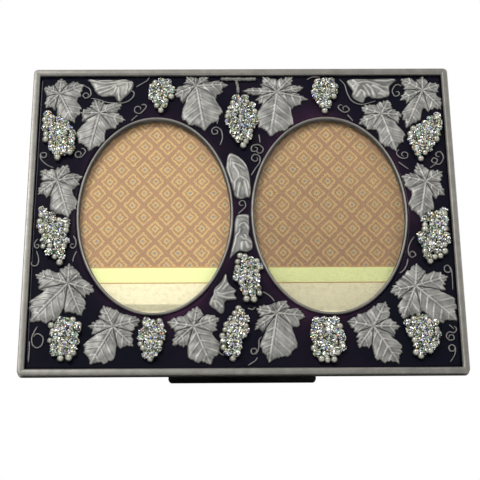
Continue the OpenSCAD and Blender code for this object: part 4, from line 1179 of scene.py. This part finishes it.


# Tendrils and twig: round wires along listed points, from the face's middle

wireShape = {
    "sides": 10,
    "radius": 0.37,
    "tip": 0.16,
    "steps": 7,
    "curlFrom": math.radians(40),   # turn between the last points from which an end winds on
    "curlTurn": math.radians(78),
    "curlStride": 2.3,
    "curlShrink": 0.86,
    "curlMore": 2,
    "lift": 0.42,
}
tendrilPoints = [
    [(-90.3, 84.8), (-87.4, 82.6), (-86.8, 78.6), (-89.6, 76.6), (-91.2, 78.6), (-89.6, 80.2)],
    [(-86.4, 76.6), (-82, 75.6), (-78, 74), (-73.5, 73.3), (-68.6, 73.3), (-65, 74.6),
     (-62.4, 77.2), (-61.8, 80.2), (-63.2, 81.4)],
    [(-60.6, 84.2), (-57, 86.6), (-54.4, 88.4), (-53.2, 90.6)],
    [(-54.6, 70.6), (-58, 66.4), (-61, 67.4), (-61, 70), (-59.4, 71)],
    [(-59.6, 65), (-61.4, 63.2), (-63, 61.4)],
    [(-12.2, 45.2), (-10.8, 50), (-11.6, 55), (-14.4, 57.0), (-16.8, 55.4), (-16.2, 52.6),
     (-13.9, 52.8)],
    [(-13.6, 61.4), (-13.8, 59.0)],
    [(10, 52), (10.6, 46.6)],
    [(11.6, 40.4), (12.2, 43), (9.4, 45.4), (6, 44.4), (5.8, 41.4), (8.4, 41.2)],
    [(5.4, 25.6), (7.6, 29.6), (10.3, 34), (10, 38), (7.2, 39), (5.6, 36.4), (7.4, 34.6)],
    [(38.4, 88.8), (41.8, 90.4), (46, 90.4)],
    [(57.4, 88.8), (60.2, 85), (61.6, 79), (64.4, 73.8), (70, 71.8), (77.6, 74.2)],
    [(56, 69.4), (59.2, 66.6), (62.2, 68), (60.6, 70.6)],
    [(61, 65), (64, 60.8)],
    [(89.6, 84.6), (87.6, 81), (88.8, 77.4), (91.4, 78.2)],
    [(88.2, 38.6), (90.4, 36.4), (93.6, 36.4), (94.2, 39.2), (92, 40.2)],
    [(88.8, 33.8), (91.4, 31.4), (94.2, 29.2)],
    [(106.4, 30), (109.8, 32.6), (110.8, 35.2), (108.8, 36.2), (107.6, 34.4)],
    [(112.6, 32.8), (114.4, 36.6), (113, 40.2), (110.4, 39.4)],
    [(-106.2, 31), (-109.6, 32.6), (-113.4, 36.4), (-113.6, 40.2), (-110.8, 40.4), (-110.8, 38)],
    [(-88.6, 41), (-90.6, 38), (-93.4, 37.8), (-94.2, 40.2), (-92.2, 41.4)],
    [(-2.2, 1.4), (0.4, 3.8), (2, 6), (1.4, 8.8), (-0.4, 9.4), (-1.6, 7.8)],
    [(-112.8, -13.8), (-114.2, -16), (-114.4, -18.2), (-113.2, -19.6), (-111.9, -18.6)],
    [(-113.2, -21.2), (-111.8, -26), (-112.2, -29.6), (-114.2, -30.4)],
    [(-93.4, -12), (-91.8, -15), (-91.8, -18), (-93.2, -19.6), (-94.8, -18.6)],
    [(-91.2, -21.6), (-92.6, -25), (-93, -28)],
    [(95.0, -13.6), (93.0, -16.4), (91.4, -20.6), (91.4, -24.4), (93.2, -26.2), (95.2, -24.6),
     (93.8, -22.6)],
    [(90.8, -27), (89.8, -31), (88, -34), (85.8, -35.6)],
    [(112.6, -35.4), (110.6, -34.6), (110.6, -32), (112.4, -31.2), (114, -33.4), (114.4, -37),
     (114.2, -46)],
    [(-110.6, -66.4), (-112, -69.4), (-113.2, -73), (-112.6, -77), (-110, -78.8), (-107.6, -77),
     (-107.2, -73), (-109.4, -70.8)],
    [(-114.4, -75), (-114.2, -80), (-114.4, -87)],
    [(10.8, -46.4), (13.8, -48.4), (15.8, -50.4), (17.0, -52.2)],
    [(2.6, -56.2), (5, -57), (6.6, -55.6)],
    [(9.8, -73), (8.4, -75), (8.2, -79), (7, -82.4), (4.6, -82.8), (4.2, -80.4), (6.2, -79.8)],
    [(7.4, -85), (6, -87), (2.4, -89.4)],
    [(110.8, -66.6), (113.2, -69)],
    [(114.4, -70), (113, -71.2), (110.4, -70.8), (108.8, -73), (110.2, -75.4), (112.8, -75),
     (112.6, -72.8)],
    [(110.4, -81.6), (109.8, -79.4), (111.6, -78.2), (113.2, -80), (112.6, -84), (110, -88)],
    [(-13.0, -81.8), (-12, -82.8), (-10.6, -83.6)],
]
twigShape = {"sides": 14, "steps": 26, "lift": 0.85, "ends": (0.75, 0.9, 0.97)}
twigPoints = [      # radius, then the points
    (1.12, [(-11.6, 89), (-6, 89), (2, 88.8), (8.6, 89)]),
    (1.0, [(-2.7, 89.6), (-2.5, 87), (-1.9, 84), (-1.6, 79.6)]),
]


def wireTube(path, radii, lifts, sides):
    # Rings across a path in the plane of the face, with a point closing each end
    way = np.gradient(path, axis=0)
    way /= np.linalg.norm(way, axis=1, keepdims=True)
    side = np.stack([-way[:, 1], way[:, 0]], -1)
    turn = np.linspace(0, 2 * np.pi, sides, endpoint=False)
    flat = path[:, None] + side[:, None] * (np.cos(turn) * radii[:, None])[..., None]
    height = lifts[:, None] + np.sin(turn) * radii[:, None]
    ring = np.concatenate([flat, height[..., None]], -1).reshape(-1, 3)
    tips = np.array([[*(path[0] - way[0] * radii[0]), lifts[0]],
                     [*(path[-1] + way[-1] * radii[-1]), lifts[-1]]])
    rows = len(path)
    caps = np.concatenate([fanFaces(0, sides, rows * sides),
                           fanFaces((rows - 1) * sides, sides, rows * sides + 1, True)])
    return np.concatenate([ring, tips]), gridFaces(rows, sides)[:, ::-1], caps[:, ::-1]


def joinTubes(tubes):
    # Several tubes as one mesh
    starts = np.cumsum([0] + [len(p) for p, _, _ in tubes])
    quads = np.concatenate([q + start for (_, q, _), start in zip(tubes, starts)])
    caps = np.concatenate([c + start for (_, _, c), start in zip(tubes, starts)])
    return np.concatenate([p for p, _, _ in tubes]), [quads, caps]


def curlOn(points):
    # Where the end of a tendril turns sharply, it winds on inward
    points = [np.array(p, float) for p in points]
    if len(points) < 4:
        return points
    before, last = points[-2] - points[-3], points[-1] - points[-2]
    angle = math.atan2(last[1], last[0])
    turn = (angle - math.atan2(before[1], before[0]) + math.pi) % (2 * math.pi) - math.pi
    if abs(turn) < wireShape["curlFrom"]:
        return points
    turn = math.copysign(min(abs(turn), wireShape["curlTurn"]), turn)
    stride = min(np.linalg.norm(last), wireShape["curlStride"])
    for _ in range(wireShape["curlMore"]):
        angle += turn
        stride *= wireShape["curlShrink"]
        points.append(points[-1] + stride * np.array([math.cos(angle), math.sin(angle)]))
    return points


def tendrilTube(points, seed):
    # Thick in its middle run, thinner toward the ends, and a little uneven
    path = smoothOpen(curlOn(curlOn(points)[::-1])[::-1], wireShape["steps"])
    along = np.linspace(0, 1, len(path))
    taper = np.clip(np.minimum(along * 8.0 + 0.3, (1 - along) * 5.0), 0, 1) ** 0.6
    radii = wireShape["tip"] + (wireShape["radius"] - wireShape["tip"]) * taper
    radii = radii * (1 + 0.10 * waves(path, seed, 1.2))
    lifts = wireShape["lift"] + 0.12 * np.sin(along * np.pi)
    return wireTube(path, radii, lifts, wireShape["sides"])


def twigTube(radius, points):
    # Three knots and two ripples along the wood
    path = smoothOpen(points, twigShape["steps"])
    along = np.linspace(0, 1, len(path))
    radii = 0.86 + 0.06 * np.sin(along * 61.0) + 0.05 * np.sin(along * 27.0)
    for place, height, width in ((0.22, 0.16, 0.05), (0.55, 0.2, 0.045), (0.83, 0.15, 0.05)):
        radii += height * hill(along - place, width)
    radii *= radius
    radii[:3] *= twigShape["ends"]
    radii[-3:] *= twigShape["ends"][::-1]
    return wireTube(path, radii, np.full(len(path), twigShape["lift"]), twigShape["sides"])


points, faces = joinTubes([tendrilTube(p, seed) for seed, p in enumerate(tendrilPoints)])
makePiece("tendrilWires", points, faces, wirePewter, ["tendrils"],
          values={"age": np.clip(0.75 - 1.1 * points[:, 2], 0.0, 0.8)})
points, faces = joinTubes([twigTube(*row) for row in twigPoints])
age = 0.6 - 0.5 * points[:, 2] + 0.3 * waves(points, 9, 0.5)
makePiece("woodyTwig", points, faces, wirePewter, ["twig"],
          values={"age": np.clip(age, 0, 0.9)})
print("wires made")


# Panes, cards and boards

for side in ("left", "right"):
    # A thin block on the card's own place, whose UV map counts millimetres from its middle
    node = "print_card_" + side
    cardPoints = nodePoints(node)
    lowest, highest = cardPoints.min(0), cardPoints.max(0)
    middle, half = (lowest[:2] + highest[:2]) / 2, (highest[:2] - lowest[:2]) / 2
    corners = np.array([(-1, -1), (1, -1), (1, 1), (-1, 1)], float) * half
    points = np.concatenate([atHeight(corners + middle, h) for h in (highest[2], lowest[2])])
    faces = np.array([(0, 1, 2, 3), (7, 6, 5, 4), (0, 4, 5, 1), (1, 5, 6, 2), (2, 6, 7, 3),
                      (3, 7, 4, 0)])
    makePiece("printCard" + side.title(), points, [faces], printed, [node],
              smooth=False, uv=np.concatenate([corners, corners]))


def dress(names, material):
    for name in names:
        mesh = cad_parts[name].data
        mesh.materials.clear()
        mesh.materials.append(material)


dress(["glass_left", "glass_right"], glass)
dress(["filler_board_left", "filler_board_right"], filler)
dress(["back_board", "strut_block", "easel_leg"], velvet)
dress([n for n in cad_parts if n.startswith(("turn_button", "hinge"))], steel)
dress(["ribbon_tab_board", "ribbon_tab_leg"], ribbon)

# Stay ribbon: a flat band from the board to the leg, as straight as it is at rest

ribbonShape = {"halfWidth": 5.0, "halfThick": 0.2, "rows": 40, "keep": 0.004}
ends = toFace(np.array([v.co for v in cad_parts["stay_ribbon"].data.vertices]))
nearBoard = ends[ends[:, 2] > ends[:, 2].max() - 1.0].mean(0)
nearLeg = ends[ends[:, 2] < ends[:, 2].min() + 1.0].mean(0)
chord = nearLeg - nearBoard
length = np.linalg.norm(chord)
across = np.array([ribbonShape["halfWidth"], 0.0, 0.0])
thick = np.cross(chord, across)
thick *= ribbonShape["halfThick"] / np.linalg.norm(thick)
places = np.array([-1, -0.5, 0, 0.5, 1])
section = np.concatenate([places[:, None] * across + thick, places[::-1, None] * across - thick])
rows = ribbonShape["rows"]
share = np.linspace(0, 1, rows)[:, None]
points = (nearBoard + share[..., None] * chord + section[None]).reshape(-1, 3)
capA = np.array([[0, 1, 8, 9], [1, 2, 7, 8], [2, 3, 6, 7], [3, 4, 5, 6]])
capB = capA[:, ::-1] + (rows - 1) * len(section)
stay = makePiece("stayRibbonBand", points, [gridFaces(rows, len(section)), capA, capB], ribbon,
                 ["stay_ribbon"], smooth=False,
                 uv=layOut(section[:, 0], share[:, 0] * length))
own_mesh(stay)
print("back made")


# Stage: a floor that shows from above only, keeps the shadow and clears away from the part, and a
# white world

stageShape = {
    "floor": 6.0,
    "tone": (0.94, 0.94, 0.94),
    "clearFrom": 0.22,
    "clearTo": 0.62,
    "ambient": 0.8,
    "glossLow": 0.30,       # what reflections see of the world low down
    "sky": (-0.1, 0.75),    # slopes between which it brightens to full
}
floorMaterial, tree, output = emptyMaterial("whiteFloor")
matt = addNode(tree, "ShaderNodeBsdfDiffuse", {"Color": stageShape["tone"]})
clear = addNode(tree, "ShaderNodeBsdfTransparent")
fromBelow = addNode(tree, "ShaderNodeNewGeometry").outputs["Backfacing"]
away = addNode(tree, "ShaderNodeVectorMath", {0: objectPlace(tree)}, operation="LENGTH")
faded = addNode(tree, "ShaderNodeMapRange", {
    "Value": away.outputs["Value"], "From Min": stageShape["clearFrom"],
    "From Max": stageShape["clearTo"]}, interpolation_type="SMOOTHSTEP")
cameraRay = addNode(tree, "ShaderNodeLightPath").outputs["Is Camera Ray"]
seen = mathNode(tree, "MULTIPLY", faded.outputs[0], cameraRay)
shown = addNode(tree, "ShaderNodeMixShader", {
    0: mathNode(tree, "MAXIMUM", fromBelow, seen), 1: matt.outputs[0], 2: clear.outputs[0]})
feed(tree, output.inputs["Surface"], shown.outputs[0])
reach = stageShape["floor"]
floorMesh = bpy.data.meshes.new("stageFloor")
floorMesh.from_pydata([(-reach, -reach, 0), (reach, -reach, 0), (reach, reach, 0),
                       (-reach, reach, 0)], [], [(0, 1, 2, 3)])
floorMesh.materials.append(floorMaterial)
floorPiece = bpy.data.objects.new("stageFloor", floorMesh)
scene = bpy.context.scene
scene.collection.objects.link(floorPiece)

world = bpy.data.worlds.new("whiteRoom")
scene.world = world
world.use_nodes = True
tree = world.node_tree
background = tree.nodes["Background"]
background.inputs["Color"].default_value = (1, 1, 1, 1)
path = addNode(tree, "ShaderNodeLightPath")
around = addNode(tree, "ShaderNodeTexCoord").outputs["Generated"]
upward = addNode(tree, "ShaderNodeSeparateXYZ", {"Vector": around})
skyLow, skyHigh = stageShape["sky"]
sky = addNode(tree, "ShaderNodeMapRange", {"Value": upward.outputs[2], "From Min": skyLow,
                                           "From Max": skyHigh, "To Min": stageShape["glossLow"],
                                           "To Max": 1.0})
plain = mathNode(tree, "MAXIMUM", path.outputs["Is Camera Ray"],
                 path.outputs["Is Transmission Ray"])
glossy = addNode(tree, "ShaderNodeMix", {0: path.outputs["Is Glossy Ray"],
                                         2: stageShape["ambient"], 3: sky.outputs[0]})
strength = addNode(tree, "ShaderNodeMix", {0: plain, 2: glossy.outputs[0], 3: 1.0})
feed(tree, background.inputs["Strength"], strength.outputs[0])

lampShape = {       # place, width and height, power
    "keyLamp": ((-0.55, -0.75, 0.95), (0.35, 0.35), 13.0),
    "rimLamp": ((0.75, -0.35, 0.75), (0.25, 0.5), 3.0),
}
lampAim = Vector((0, 0, 0.09))
for name, (place, size, power) in lampShape.items():
    data = bpy.data.lights.new(name, "AREA")
    data.shape = "RECTANGLE"
    data.size, data.size_y = size
    data.energy = power
    lampPiece = bpy.data.objects.new(name, data)
    scene.collection.objects.link(lampPiece)
    lampPiece.location = place
    lampPiece.rotation_euler = (lampAim - Vector(place)).to_track_quat("-Z", "Y").to_euler()

# Camera of the photograph

cameraShape = {
    "place": (-0.009398, -0.885920, -0.036199),
    "yaw": math.radians(0.5312),
    "pitch": math.radians(7.3793),
    "roll": math.radians(-0.3234),
    "lens": 119.157,
    "sensor": 36.0,
}
cam = cameraShape
sinYaw, cosYaw = math.sin(cam["yaw"]), math.cos(cam["yaw"])
ahead = Vector((sinYaw * math.cos(cam["pitch"]), cosYaw * math.cos(cam["pitch"]),
                math.sin(cam["pitch"])))
level = Vector((cosYaw, -sinYaw, 0))
upright = level.cross(ahead)
right = math.cos(cam["roll"]) * level + math.sin(cam["roll"]) * upright
upward = -math.sin(cam["roll"]) * level + math.cos(cam["roll"]) * upright
lensData = bpy.data.cameras.new("photoCamera")
lensData.lens = cam["lens"]
lensData.sensor_width = cam["sensor"]
lensData.clip_start = 0.01
photoCamera = bpy.data.objects.new("photoCamera", lensData)
scene.collection.objects.link(photoCamera)
turn = Matrix((right, upward, -ahead)).transposed().to_4x4()
photoCamera.matrix_world = Matrix.Translation(Vector(cam["place"])) @ turn
scene.camera = photoCamera
scene.view_settings.view_transform = "Standard"

bpy.context.view_layer.update()
